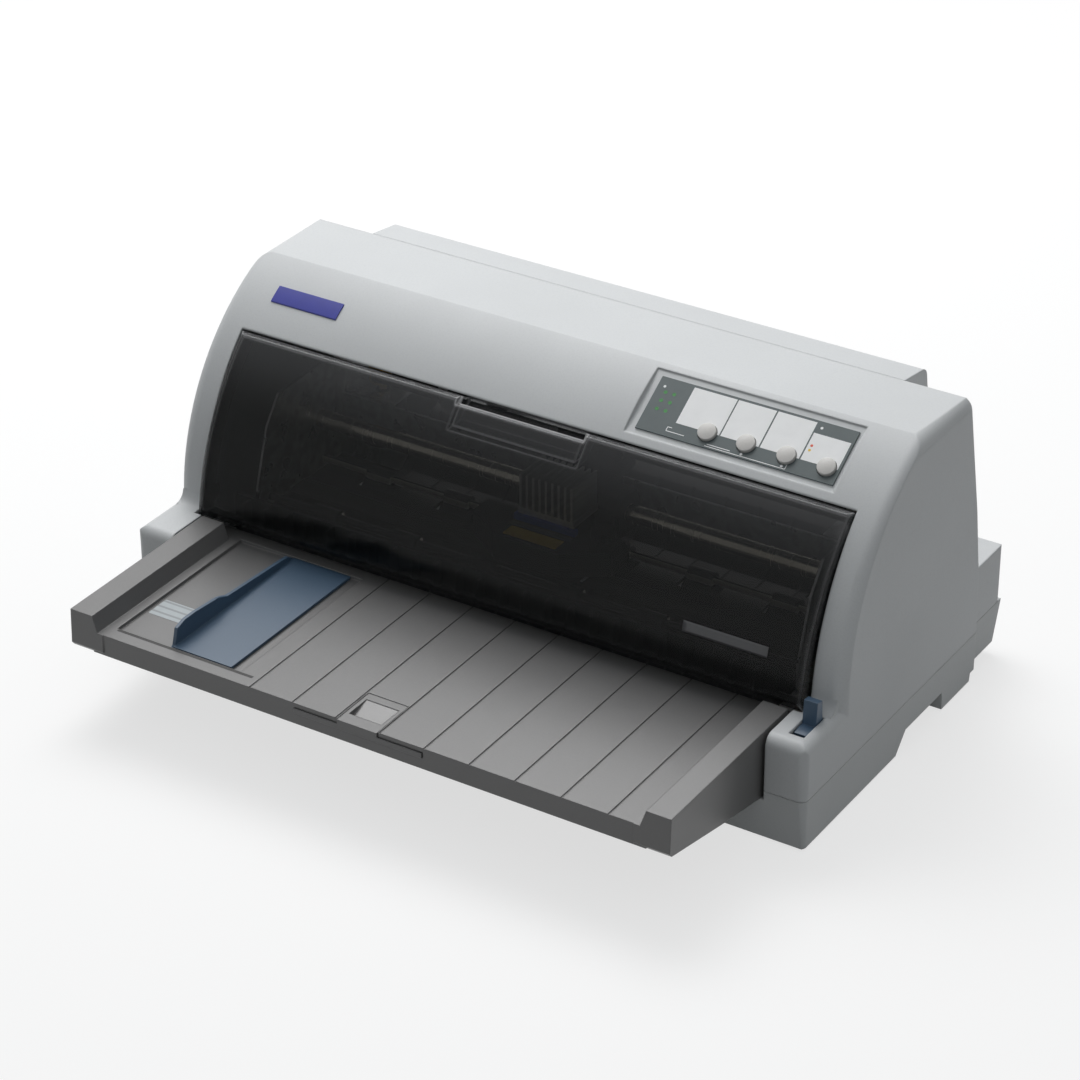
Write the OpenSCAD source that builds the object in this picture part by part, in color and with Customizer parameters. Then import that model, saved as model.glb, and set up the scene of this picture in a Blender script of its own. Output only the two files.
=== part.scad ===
// Flatbed dot matrix printer with a smoked front cover.
// Millimetres. +Z up, the front faces -Y, and the machine is centred on X.
// Stations along the depth are counted from the front face of the case.

/* [Case] */
// Width of the case at its shoulders
case_w = 480; // [440:1:520]
// Height of the flat top at the crease where the front curve ends
top_z = 208.7; // [207:0.1:210]
// Depth of the main case at its foot
main_d = 222; // [220:1:230]
// Depth of the rear box behind the main case
rear_d = 45; // [42:1:55]
// Height of the rear box
rear_z = 75; // [72:1:78]
// Height of the shoulders beside the sheet guide
shoulder_z = 72; // [72:0.1:73]
// Height of the seam between the lower and the upper case
seam_z = 34; // [33.5:0.1:35]
// Wall thickness of the case mouldings
wall = 2.6; // [2.2:0.1:3]
// Radius of the front curve
nose_r = 153.5; // [153:0.1:154.5]
// Fillet along the outer edges of the curve and the top
edge_r = 9; // [6:0.5:10]
// How far the sides lean in between shoulder and top
side_draft = 3; // [0:0.5:4]
// Diameter of the rubber feet
foot_d = 18; // [14:1:22]

/* [Front cover] */
// Distance from the side of the case to the smoked cover
cover_inset = 22; // [21.5:0.5:24]
// Wall thickness of the smoked cover
cover_t = 2.2; // [1.8:0.1:2.6]
// Radius of the cover's front curve
cover_r = 173; // [172:0.5:175]
// Height of the cover's top edge
cover_top_z = 176.5; // [174:0.5:177]
// Height of the cover's lower lip
cover_low_z = 67.5; // [67.2:0.1:68]
// Width of the finger grip in the cover's top edge
grip_w = 88; // [60:1:110]
// Depth of the finger grip's pocket
grip_d = 8; // [6:0.5:9]

/* [Sheet guide] */
// Width of the case's shoulder on each side of the sheet guide
shoulder_w = 29; // [28:0.5:31]
// How far the sheet guide reaches in front of the case
tray_out = 103; // [100:1:110]
// Height of the sheet guide's floor, the paper level
floor_z = 62; // [61.8:0.1:62.2]
// Height of the sheet guide's side rims
rim_z = 73; // [72:0.5:74]
// Distance between the grooves in the floor
groove_pitch = 31; // [29:0.1:31.4]
// Width of the pull-out sheet support
support_w = 90; // [70:1:100]

/* [Mechanism] */
// Distance from the side of the case to the side frame
frame_inset = 43; // [42:0.5:45]
// Thickness of the steel side frames
frame_t = 1.6; // [1.2:0.1:2]
// Depth station of the row of needles
print_y = 112; // [110:0.5:113]
// Diameter of the carriage guide shaft
shaft_d = 12; // [10:0.5:13]
// Radius of the rubber feed rollers
feed_r = 8; // [7.5:0.1:8.5]
// Radius of the pinch rollers
pinch_r = 5; // [4.5:0.1:5.5]
// Module of the feed gears
gear_m = 1.5; // [1.45:0.05:1.6]
// Teeth on each feed roller gear
roller_teeth = 24; // [22:1:26]
// Teeth on the idler gear
idler_teeth = 16; // [14:1:18]
// Teeth on the motor pinion
pinion_teeth = 12; // [11:1:14]
// Radius of the carriage belt's pulleys
pulley_r = 7; // [6.5:0.5:7.5]

/* [Controls] */
// Diameter of the panel buttons
button_d = 11.5; // [10:0.1:12]
// How far the buttons stand above the panel
button_h = 3; // [2.5:0.1:4]
// Height of the release lever above the shoulder
lever_up = 14; // [10:0.5:16]

/* [Rear] */
// Distance from the side of the case to the rear cover
rear_cover_inset = 47.5; // [45:0.5:55]
// Wall thickness of the rear cover
rear_cover_t = 2.5; // [2:0.1:3]
// Distance from the side of the case to the tractor's side plate
tractor_inset = 60; // [57:0.5:70]

/* [Hidden] */
$fn = 64;

// Clearances: between parts that stand still, and around a turning shaft
rest_gap = 0.3;
run_gap = 0.06;
eps = 0.01;

// Colours as the photograph shows them
case_grey = [0.80, 0.81, 0.82];
base_grey = [0.68, 0.69, 0.70];
tray_grey = [0.46, 0.46, 0.46];
smoke = [0.16, 0.17, 0.18, 0.6];
dark = [0.16, 0.17, 0.18];
steel = [0.62, 0.63, 0.64];
blue = [0.33, 0.43, 0.55];
rubber = [0.10, 0.10, 0.10];
nylon = [0.85, 0.84, 0.80];
brass = [0.78, 0.66, 0.36];

// Whole machine
rear_y = main_d + rear_d;
mid_y = (rear_y - tray_out) / 2;
foot_h = 1.5;
half_w = case_w / 2;
tray_w = case_w - 2 * shoulder_w;
cover_w = case_w - 2 * cover_inset;
rear_cover_w = case_w - 2 * rear_cover_inset;
tractor_w = case_w - 2 * tractor_inset;

// Side outline of the upper case
crease_y = 140.5;
nose_y = 197;
nose_z = top_z - sqrt(nose_r * nose_r - (nose_y - crease_y) * (nose_y - crease_y));
top_back_y = 199;
top_back_z = top_z - 1.7;
back_pts = [[top_back_y, top_back_z], [206, 168], [214, 124], [main_d - 2, rear_z + 1], [main_d, seam_z]];
shoulder_r = 7;
corner_r = 5;
cove_r = 8;
cove_z = shoulder_z + cove_r;
cove_y = nose_y - sqrt(pow(nose_r + cove_r, 2) - pow(cove_z - nose_z, 2));
shoulder_in = tray_w / 2 + 2.4;
shoulder_back = 46;
rear_inset = 5;

// Front window and cover
window_x = cover_w / 2 + 1;
window_top = cover_top_z + 1;
window_lip = nose_y - sqrt(nose_r * nose_r - pow(window_top - nose_z, 2));
cover_y = 205;
cover_z = 50;
cover_low_r = 9;
cover_deep = 16;
cover_nose = cover_y - sqrt(cover_r * cover_r - pow(cover_low_z + cover_low_r - cover_z, 2));
hinge_y = 50;
hinge_z = 80;
hinge_r = 2.5;
cover_reach = norm([window_lip - hinge_y, window_top - hinge_z]) - 1.4;
flange_t = 2.6;
flange_d = 14;
grip_x = -7;
grip_h = 14;
grip_drop = 3;

// Rear cover
rear_hinge_y = main_d + 8;
rear_hinge_z = 154;
rear_edge_y = top_back_y + 0.6;
rear_edge_z = top_back_z - 0.3;
rear_crest = [main_d + 7, top_back_z - 4.6];
ear_w = 4;
ear_x = rear_cover_w / 2 - rear_cover_t - 2 - ear_w / 2;
slot_x = ear_x - 8;

// Underside of the lower case
belly_z = foot_h;
step_z = 14;
step_y0 = main_d - 105;
step_y1 = step_y0 + 12;
block_y0 = main_d - 45;
block_y1 = main_d - 6;
tail_z = 7;
boss_x = half_w - 10.6;
boss_ys = [58, main_d - 27];
boss_r = 4;
screw_r = 1.5;
foot_r = foot_d / 2;
foot_pts = [for (x = [-1, 1], y = [28, main_d - 25]) [x * (half_w - 35), y]];
tray_low = 28;

// Frame and paper path
frame_x = half_w - frame_inset;
frame_in = frame_x - frame_t;
frame_y0 = 69;
frame_y1 = 206;
frame_top = 136;
pan_z = step_z + wall + 1.4;
pan_t = 1.2;
pan_x = frame_x + 3;
frame_low = pan_z + pan_t;
feed_gap = gear_m * (roller_teeth + idler_teeth) / 2;
front_roll_y = print_y - feed_gap;
rear_roll_y = print_y + feed_gap;
roll_z = floor_z + 0.3 - feed_r;
pinch_z = floor_z + 0.6 + pinch_r;
pinch_shaft_r = 2.5;
feed_shaft_r = 4;
roll_xs = [-150, -90, -30, 30, 90, 150];
roll_w = 24;
platen_w = 18;

// Carriage drive
guide_y = print_y + 28;
guide_z = 98;
guide_r = shaft_d / 2;
rail_y = print_y + 52;
rail_t = 2;
rail_z0 = 84;
rail_z1 = 106;
belt_y = rail_y + 19;
belt_run = belt_y - pulley_r;
belt_z = 114;
belt_h = 6;
belt_t = 1.2;
pulley_x = frame_x - 21;
pulley_pin_r = 2.5;
flange_h = 1.2;
tab_z = 104;
stay_y = belt_y + 11;
stay_z = 122;
carriage_w = 68;
carriage_rest = 4;
deck_z = 78;
deck_t = 3;
head_w = 36;
head_top = 103;
cartridge_z = deck_z + deck_t + 0.2;
cartridge_h = 17;
knob_x = 37;
knob_y = print_y - 8;
cable_z = stay_z + 1;
cable_h = 12;
cable_t = 0.5;
carriage_motor_r = 15.5;

// Feed gears
gear_x = frame_x + 1.4;
gear_w = 6;
pinion_angle = -35;
pinion_a = gear_m * (roller_teeth + pinion_teeth) / 2;
pinion_y = rear_roll_y + pinion_a * cos(pinion_angle);
pinion_z = roll_z + pinion_a * sin(pinion_angle);
feed_motor_r = 17.5;
stub_r = 3;

// Control panel, on the chord between two stations of the front curve
panel_x0 = half_w - 180.7;
panel_x1 = half_w - 39;
panel_y0 = 96.6;
panel_y1 = 136;
panel_sink = 0.8;
pad_t = 3;
plate_t = 1;
button_xs = [for (x = [49.4, 75.7, 102.7, 129.3]) panel_x0 + 1.2 + x];
button_up = 13.9;
lamp_pts = [for (c = [0, 1], r = [0:2]) [panel_x0 + 12.7 + 6 * c, 20 + 6 * r]];
board_drop = 10;
board_t = 1.6;
badge_x = -half_w + 56.5;

// Lever in the right shoulder
lever_x = half_w - 12;
lever_w = 9;
lever_y = 22;
lever_z = shoulder_z - 32;
lever_r = 30.6;
lever_pin_r = 3;
slot_y0 = 10;
slot_y1 = 35;

// Power switch in the left wall
switch_y = 88;
switch_z = 18;
switch_l = 21;
switch_h = 15;
switch_x = -half_w + 7.5;
switch_tilt = 6;

// Sheet guide: rims, edge guide bay and pull-out support
rim_x0 = tray_w / 2 - 20;
rim_x1 = tray_w / 2 - 16;
tray_back = 44;
rim_back = 31;
bay_x0 = -tray_w / 2 + 26.6;
bay_x1 = bay_x0 + 92.8;
bay_y0 = -tray_out + 12;
bay_y1 = 35;
bay_d = 2.1;
guide_x0 = bay_x0 + 41.6;
guide_x1 = bay_x1 - 8.1;
support_z0 = floor_z - 6.7;
support_z1 = floor_z - 3.4;
tongue_w = 28;
tongue_back = -tray_out + 33;

// Boards, inlet and ports
pan_xs = [12 - frame_x, 95, frame_x - 12];
pan_ys = [frame_y0 + 7, frame_y1 - 16];
board_x0 = -half_w + 80;
board_x1 = half_w - 170;
board_y0 = 14;
board_y1 = board_y0 + 96;
board_xs = [board_x0 + 10, board_x1 - 10];
board_ys = [board_y0 + 8, board_y1 - 8];
board_z = 8;
supply_x0 = -half_w + 72;
supply_x1 = supply_x0 + 106;
supply_z = 13;
supply_xs = [supply_x0 + 5, supply_x1 - 5];
supply_ys = [main_d + 5, rear_y - 15];
inlet_x = -half_w + 44;
inlet_z = rear_z - 20;
port_x = half_w - 106;
port_z = rear_z - 27;

// Rear tractor
tractor_x = tractor_w / 2;
tractor_bar_y = main_d + 18;
tractor_bar_z = rear_z + 17;
drive_y = main_d + 32;
drive_z = rear_z + 25;
tractor_shaft_r = 3.5;
tractor_bar_r = 4;

function arc_z(y) = nose_z + sqrt(nose_r * nose_r - (nose_y - y) * (nose_y - y));
panel_a = atan2(arc_z(panel_y1) - arc_z(panel_y0), panel_y1 - panel_y0);
panel_l = (panel_y1 - panel_y0) / cos(panel_a);

// ---------- shared shapes ----------

// Depth stations are counted from the case front; the row's origin is under the middle.
module placed() {
  translate([0, -mid_y, 0]) children();
}

// A side outline, drawn as (depth, height), made w wide across X.
module across(w, x = 0) {
  translate([x, 0, 0]) rotate([90, 0, 90]) linear_extrude(height = w, center = true) children();
}

module box(p0, p1) {
  translate(p0) cube(p1 - p0);
}

// A box of which x0 and x1 are read outwards from the middle, on side s.
module side_box(s, p0, p1) {
  if (s > 0) box(p0, p1);
  else box([-p1[0], p0[1], p0[2]], [-p0[0], p1[1], p1[2]]);
}

// A bar along X with its axis at (y, z), from x0 to x1.
module bar(x0, x1, y, z, r) {
  translate([x0, y, z]) rotate([0, 90, 0]) cylinder(r = r, h = x1 - x0);
}
module side_bar(s, x0, x1, y, z, r) {
  if (s > 0) bar(x0, x1, y, z, r);
  else bar(-x1, -x0, y, z, r);
}

// What a rounded corner of radius r takes away, from the round's centre outwards.
module corner_waste(r, sx, sy, over = 1) {
  difference() {
    translate([sx > 0 ? 0 : -r - over, sy > 0 ? 0 : -r - over]) square(r + over);
    circle(r = r);
  }
}

module rounded_square(size, r) {
  difference() {
    square(size, center = true);
    for (sx = [-1, 1], sy = [-1, 1])
      translate([sx * (size[0] / 2 - r), sy * (size[1] / 2 - r)]) corner_waste(r, sx, sy);
  }
}

// What rounding the corner p1 between p0 and p2 takes away.
function unit(v) = v / norm(v);
module corner_cut(p0, p1, p2, r) {
  u = unit(p0 - p1);
  v = unit(p2 - p1);
  half = acos(u * v) / 2;
  mid = p1 + unit(u + v) * r / sin(half);
  difference() {
    polygon([p1 + u * r / tan(half), p1 - unit(u + v), p1 + v * r / tan(half), mid]);
    translate(mid) circle(r = r);
  }
}

// Involute gear outline
function inv(a) = tan(a) * 180 / PI - a;
function flank(rp, r) = let(rb = rp * cos(20)) r <= rb ? inv(20) : inv(20) - inv(acos(rb / r));
function tooth_half(rp, n, r) = 90 / n - 6.5 / rp + flank(rp, r);
function polar(r, a) = [r * cos(a), r * sin(a)];
module gear_outline(n, turn) {
  rp = gear_m * n / 2;
  ra = rp + gear_m * 0.92;
  rf = rp - gear_m * 1.25;
  rs = [max(rf + 0.2, rp * cos(20) + 0.01), rp, (rp + ra) / 2, ra];
  foot = tooth_half(rp, n, rs[0]);
  polygon([for (k = [0:n - 1]) let(a = turn + k * 360 / n) each concat(
    [polar(rf, a - 180 / n), polar(rf, a - foot)],
    [for (r = rs) polar(r, a - tooth_half(rp, n, r))],
    [for (i = [3:-1:0]) polar(rs[i], a + tooth_half(rp, n, rs[i]))],
    [polar(rf, a + foot)])]);
}

// Turn of gear 2 that puts it in mesh with gear 1, where gear 2 lies at angle phi from gear 1.
function mesh_turn(turn1, n1, n2, phi) = phi + 180 - (n1 * (turn1 - phi) + 180) / n2;

// A gear on the right of the frame, its outline read in the (depth, height) plane.
module gear(y, z, n, turn, bore_r, hub_r) {
  translate([gear_x, y, z]) rotate([90, 0, 90]) difference() {
    union() {
      linear_extrude(height = gear_w) gear_outline(n, turn);
      cylinder(r = hub_r, h = gear_w + 1.5);
    }
    translate([0, 0, -1]) cylinder(r = bore_r, h = gear_w + 4);
  }
}

// ---------- casings ----------

// Side outline of the body behind the front curve, set in by t.
module nose_profile(t) {
  low = t > 0 ? seam_z - 2 : seam_z + rest_gap;
  intersection() {
    translate([nose_y, nose_z]) circle(r = nose_r - t);
    polygon(concat([[0, low], [0, top_z + 4.1 - t]],
      [for (i = [0:4]) [back_pts[i][0] - t, i == 0 ? back_pts[i][1] - t : i == 4 ? low : back_pts[i][1]]]));
  }
}

// Front outline of the body: sides that lean in above the shoulder, rounded into the top.
module body_front(t) {
  r = edge_r - t;
  lean = side_draft * (top_z - edge_r - shoulder_z) / (top_z - shoulder_z);
  difference() {
    polygon([[-half_w + t, seam_z - 2], [half_w - t, seam_z - 2], [half_w - t, shoulder_z],
      [half_w - side_draft - t, top_z + 5], [-half_w + side_draft + t, top_z + 5],
      [-half_w + t, shoulder_z]]);
    for (s = [-1, 1]) translate([s * (half_w - lean - edge_r), top_z - edge_r]) corner_waste(r, s, 1, 8);
  }
}

module body_solid(t) {
  intersection() {
    across(case_w) nose_profile(t);
    translate([0, rear_y, 0]) rotate([90, 0, 0]) linear_extrude(height = rear_y + 10) body_front(t);
    translate([0, nose_y, nose_z]) rotate([0, 90, 0]) rotate_extrude() difference() {
      translate([0, -half_w + t]) square([nose_r - t + eps, case_w - 2 * t]);
      for (s = [-1, 1]) translate([nose_r - edge_r, s * (half_w - edge_r)]) corner_waste(edge_r - t, 1, s);
    }
  }
}

// The block of the shoulders, before the sheet guide's bay is cut between them.
module shoulder_solid(t) {
  low = t > 0 ? seam_z - 2 : seam_z + rest_gap;
  r = shoulder_r - t;
  intersection() {
    across(case_w) difference() {
      translate([t, low]) square([62 - t, shoulder_z - t - low]);
      translate([shoulder_r, shoulder_z - shoulder_r]) corner_waste(r, -1, 1);
    }
    translate([0, rear_y, 0]) rotate([90, 0, 0]) linear_extrude(height = rear_y + 10) difference() {
      translate([-half_w + t, seam_z - 3]) square([case_w - 2 * t, shoulder_z]);
      for (s = [-1, 1]) translate([s * (half_w - shoulder_r), shoulder_z - shoulder_r]) corner_waste(r, s, 1);
    }
    linear_extrude(height = shoulder_z + 20) difference() {
      translate([-half_w + t, t]) square([case_w - 2 * t, main_d]);
      for (s = [-1, 1]) translate([s * (half_w - corner_r), corner_r]) corner_waste(corner_r - t, s, -1);
    }
  }
}

// Rear box, open to the main body.
module rear_solid(t) {
  low = t > 0 ? seam_z - 2 : seam_z + rest_gap;
  w = case_w - 2 * rear_inset - 2 * t;
  intersection() {
    across(w) difference() {
      translate([main_d - 12, low]) square([rear_d + 12 - t, rear_z - t - low]);
      translate([rear_y - 5, rear_z - 5]) corner_waste(5 - t, 1, 1);
    }
    linear_extrude(height = rear_z + 20) difference() {
      translate([-w / 2, main_d - 30]) square([w, rear_d + 30 - t]);
      for (s = [-1, 1]) translate([s * (w / 2 + t - 6), rear_y - 6]) corner_waste(6 - t, s, 1);
    }
  }
}

// Fillet between the shoulder tops and the front curve.
module cove() {
  touch_y = nose_y + (cove_y - nose_y) * nose_r / (nose_r + cove_r);
  touch_z = nose_z + (cove_z - nose_z) * nose_r / (nose_r + cove_r);
  w = half_w - 4 - window_x;
  for (s = [-1, 1]) across(w, s * (window_x + w / 2)) difference() {
    polygon([[cove_y + 0.4, shoulder_z - 1.5], [cove_y + 0.4, shoulder_z + 0.02],
      [touch_y, touch_z - 0.1], [touch_y + 2, touch_z - 0.1], [touch_y + 3, shoulder_z - 1.5]]);
    translate([cove_y, cove_z]) circle(r = cove_r);
  }
}

module panel_frame() {
  translate([0, panel_y0, arc_z(panel_y0)]) rotate([panel_a, 0, 0]) children();
}

// Flanges turned in round the window: they stiffen it, and the side ones carry the cover's pins.
module window_flanges() {
  intersection() {
    body_solid(0);
    across(case_w) difference() {
      translate([30, cover_low_z - 8]) square([74, window_top - cover_low_z + 11]);
      translate([nose_y, nose_z]) circle(r = nose_r - flange_d);
    }
    union() {
      for (s = [-1, 1]) side_box(s, [window_x, 20, 30], [window_x + flange_t, 130, 200]);
      box([-window_x, 20, window_top], [window_x, 130, window_top + 2.4]);
    }
  }
}

module upper_case() {
  color(case_grey) placed() difference() {
    union() {
      difference() {
        union() {
          body_solid(0);
          shoulder_solid(0);
          rear_solid(0);
        }
        body_solid(wall);
        shoulder_solid(wall);
        rear_solid(wall);
      }
      cove();
      // inner walls of the shoulders
      for (s = [-1, 1]) intersection() {
        shoulder_solid(0);
        side_box(s, [shoulder_in, -1, seam_z], [shoulder_in + wall, 61, shoulder_z + 1]);
      }
      window_flanges();
      // thick pad under the control panel
      intersection() {
        body_solid(0);
        panel_frame() box([panel_x0 - 3, -2, -panel_sink - pad_t], [panel_x1 + 3, panel_l + 2, 4]);
      }
      // screw bosses and their ribs
      for (s = [-1, 1], y = boss_ys) {
        translate([s * boss_x, y, seam_z + rest_gap]) cylinder(r = boss_r, h = 26);
        side_box(s, [boss_x + 2, y - 1, seam_z + rest_gap], [half_w - 1, y + 1, seam_z + 24]);
      }
      // ears for the rear cover's pins
      for (s = [-1, 1]) across(ear_w, s * ear_x) ear_outline();
      // boss that carries the release lever's outer pin
      bar(lever_x + 7, half_w - 1, lever_y, lever_z, 6);
    }
    // bay of the sheet guide and the window
    box([-shoulder_in, -1, seam_z - 3], [shoulder_in, shoulder_back, shoulder_z + 8]);
    box([-window_x, hinge_y - 17.2, floor_z - 1], [window_x, hinge_y + 13, shoulder_z + 8]);
    box([-window_x, hinge_y - 17.2, shoulder_z], [window_x, 104, window_top]);
    for (s = [-1, 1]) side_bar(s, window_x - 2, window_x + 14, hinge_y, hinge_z, hinge_r + run_gap);
    // panel recess and button holes
    panel_frame() {
      box([panel_x0, 0, -panel_sink], [panel_x1, panel_l, 8]);
      for (x = button_xs) translate([x, button_up, -12]) cylinder(d = button_d + 0.8, h = 20);
    }
    // lever slot and pivot
    box([lever_x - 5, slot_y0, shoulder_z - 12], [lever_x + 5, slot_y1, shoulder_z + 2]);
    bar(shoulder_in - 2, half_w - wall, lever_y, lever_z, lever_pin_r + run_gap);
    // slots for the sheets and for the tractor's paper, and the rear cover's pins
    box([-slot_x, main_d - 26, 160], [slot_x, main_d + 2, 190]);
    box([-slot_x, main_d - 16, rear_z + 13], [slot_x, main_d + 4, rear_z + 43]);
    for (s = [-1, 1]) side_bar(s, ear_x - 4, ear_x + 4, rear_hinge_y, rear_hinge_z, hinge_r + run_gap);
    // holes of the inlet, the ports and the case screws
    inlet_hole();
    port_holes();
    for (s = [-1, 1], y = boss_ys) translate([s * boss_x, y, seam_z - 1]) cylinder(r = screw_r, h = 20);
  }
}

module ear_outline() {
  r = hinge_r + 1.9;
  polygon([[back_pts[1][0] + 3.5, rear_hinge_z - 14], [rear_hinge_y, rear_hinge_z - r],
    [rear_hinge_y, rear_hinge_z + r], [back_pts[1][0] - 2, rear_hinge_z + 18]]);
  translate([rear_hinge_y, rear_hinge_z]) circle(r = r);
}

// Underside outline, set in by t; the belly steps up between the front and the rear feet.
module belly_profile(t) {
  rim = t > 0 ? seam_z + 2 : seam_z;
  polygon([[1.5 + t, belly_z + t], [step_y0 - t / 2, belly_z + t], [step_y1 - t / 2, step_z + t],
    [block_y0 + t, step_z + t], [block_y0 + 1 + t, belly_z + t], [block_y1 - t, belly_z + t],
    [block_y1 + 1 - t, tail_z + t], [rear_y - 9 - t, tail_z + t], [rear_y - t, rim], [t, rim]]);
}

module lower_solid(t) {
  w = case_w - 2 * t;
  intersection() {
    across(case_w) belly_profile(t);
    linear_extrude(height = seam_z + 4) union() {
      difference() {
        translate([-w / 2, t]) square([w, main_d - 2 * t]);
        for (s = [-1, 1]) translate([s * (half_w - corner_r), corner_r]) corner_waste(corner_r - t, s, -1);
      }
      translate([-w / 2 + rear_inset, main_d - 20]) square([w - 2 * rear_inset, rear_d + 20 - t]);
    }
  }
}

// A post that stands in the floor of the lower case.
module post(x, y, floor, top, r) {
  translate([x, y, floor + 1]) cylinder(r = r, h = top - floor - 1);
}

module lower_case() {
  color(base_grey) placed() difference() {
    union() {
      difference() {
        lower_solid(0);
        lower_solid(wall);
      }
      // posts for the case screws, the base pan and the two boards
      for (s = [-1, 1], y = boss_ys) post(s * boss_x, y, belly_z, seam_z, boss_r);
      for (x = pan_xs, y = pan_ys) post(x, y, belly_z, pan_z, 5);
      for (x = board_xs, y = board_ys) post(x, y, belly_z, board_z, 3);
      for (x = supply_xs, y = supply_ys) post(x, y, tail_z, supply_z, 2.5);
      // lugs that hold the power switch's pins
      for (z = [switch_z - switch_h / 2 - 2.6, switch_z + switch_h / 2 + 0.3])
        box([-half_w + 1, switch_y - 4, z], [switch_x + 4, switch_y + 4, z + 2.3]);
    }
    // seat of the sheet guide
    box([-shoulder_in, -1, tray_low - rest_gap], [shoulder_in, shoulder_back, seam_z + 3]);
    for (s = [-1, 1], y = boss_ys) translate([s * boss_x, y, -1]) {
      cylinder(r = screw_r + 0.2, h = seam_z + 4);
      cylinder(r = 3, h = 7);
    }
    for (p = foot_pts) translate([p[0], p[1], -1]) cylinder(r = foot_r + 0.1, h = belly_z + 2);
    // air slots in the raised belly
    for (x = [-150:15:150]) box([x - 2, step_y1 + 8, step_z - 2], [x + 2, block_y0 - 8, step_z + wall + 2]);
    // power switch opening in the left wall, and its pivot
    box([-half_w - 1, switch_y - switch_l / 2, switch_z - switch_h / 2],
      [-half_w + wall + 1, switch_y + switch_l / 2, switch_z + switch_h / 2]);
    translate([switch_x, switch_y, switch_z - switch_h]) cylinder(r = 1.5 + run_gap, h = 2 * switch_h);
  }
}

module rubber_feet() {
  color(rubber) placed() for (p = foot_pts) translate([p[0], p[1], 0]) {
    cylinder(r = foot_r - 0.6, h = 0.7);
    translate([0, 0, 0.7]) cylinder(r = foot_r, h = belly_z + 0.3);
  }
}

module case_screws() {
  color(steel) placed() for (s = [-1, 1], y = boss_ys) translate([s * boss_x, y, 3.6]) difference() {
    union() {
      cylinder(r = 2.7, h = 2.4);
      cylinder(r = screw_r - 0.05, h = seam_z + 8);
    }
    // cross slot of the head
    translate([0, 0, -1]) for (a = [0, 90]) rotate(a) translate([-1.8, -0.4, 0]) cube([3.6, 0.8, 2.2]);
  }
}

// ---------- covers ----------

// Side outline of the smoked cover, set in by t.
module cover_profile(t) {
  intersection() {
    translate([cover_y, cover_z]) circle(r = cover_r - t);
    difference() {
      polygon([[20, cover_low_z + t], [200, cover_low_z + t], [200, cover_top_z - t], [20, cover_top_z - t]]);
      translate([cover_nose + cover_low_r, cover_low_z + cover_low_r]) corner_waste(cover_low_r - t, -1, -1, 6);
    }
  }
}

// Band between two radii of the cover's curve, from z0 up to z1.
module cover_band(r0, r1, z0, z1) {
  intersection() {
    difference() {
      translate([cover_y, cover_z]) circle(r = r0);
      translate([cover_y, cover_z]) circle(r = r1);
    }
    translate([0, z0]) square([cover_y, z1 - z0]);
  }
}

// What passes under the window's top edge as the cover opens.
module cover_swing() {
  translate([hinge_y, hinge_z]) circle(r = cover_reach);
}

module front_cover() {
  color(smoke) placed() {
    difference() {
      union() {
        // curved shell, open at the back
        difference() {
          intersection() {
            across(cover_w) intersection() {
              difference() {
                cover_profile(0);
                translate([cover_y, cover_z]) circle(r = cover_r - cover_deep);
              }
              cover_swing();
            }
            translate([0, cover_y, cover_z]) rotate([0, 90, 0]) rotate_extrude() difference() {
              translate([0, -cover_w / 2]) square([cover_r + eps, cover_w]);
              for (s = [-1, 1]) translate([cover_r - 4, s * (cover_w / 2 - 4)]) corner_waste(4, 1, s);
            }
          }
          across(cover_w - 2 * cover_t) cover_profile(cover_t);
        }
        // ears that carry the pins
        for (s = [-1, 1]) across(cover_t, s * (cover_w - cover_t) / 2) difference() {
          translate([hinge_y, hinge_z]) circle(r = 6);
          translate([0, hinge_z - 30]) square([hinge_y - 8, 60]);
        }
        // walls of the finger grip's pocket
        across(grip_w + 2 * cover_t, grip_x) intersection() {
          cover_band(cover_r - 0.5, cover_r - grip_d - 2 * cover_t, cover_top_z - grip_h - cover_t,
            cover_top_z);
          cover_swing();
        }
      }
      // the pocket, open at the top, and the lowered edge in front of it
      across(grip_w, grip_x) cover_band(cover_r - cover_t, cover_r - cover_t - grip_d, cover_top_z - grip_h,
        cover_top_z + 1);
      across(grip_w + 4, grip_x) cover_band(cover_r + 1, cover_r - cover_t - 0.1, cover_top_z - grip_drop,
        cover_top_z + 1);
    }
    for (s = [-1, 1])
      side_bar(s, cover_w / 2 - eps, window_x + flange_t - 0.4, hinge_y, hinge_z, hinge_r);
  }
}

// Ribbed sheet guide that hangs inside the foot of the cover.
module cover_paper_guide() {
  color(dark) placed() {
    across(cover_w - 44) translate([hinge_y - 4, cover_low_z + cover_t + rest_gap]) square([2, 17]);
    for (x = [-184:16:184]) across(1.6, x) intersection() {
      cover_profile(cover_t + rest_gap);
      translate([30, cover_low_z]) square([hinge_y - 33, 18.5]);
    }
  }
}

// Side outline of the rear cover, set in by t; what is set in stays open to the case and below.
module rear_cover_profile(t) {
  lead = t > 0 ? 12 : 0;
  fall = (rear_edge_z - rear_crest[1]) / (rear_crest[0] - rear_edge_y);
  edge = [rear_edge_y - lead, rear_edge_z + lead * fall - t];
  crest = [rear_crest[0] - t, rear_crest[1] - t];
  back = [rear_hinge_y + 7.5 - t, rear_hinge_z + 4];
  foot_z = rear_hinge_z - 7 - lead;
  difference() {
    polygon([edge, crest, back, [back[0], foot_z], [rear_hinge_y - 12 - lead, foot_z],
      [back_pts[1][0] + 0.6 - lead, back_pts[1][1]]]);
    corner_cut(edge, crest, back, 7 - t);
  }
}

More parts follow.
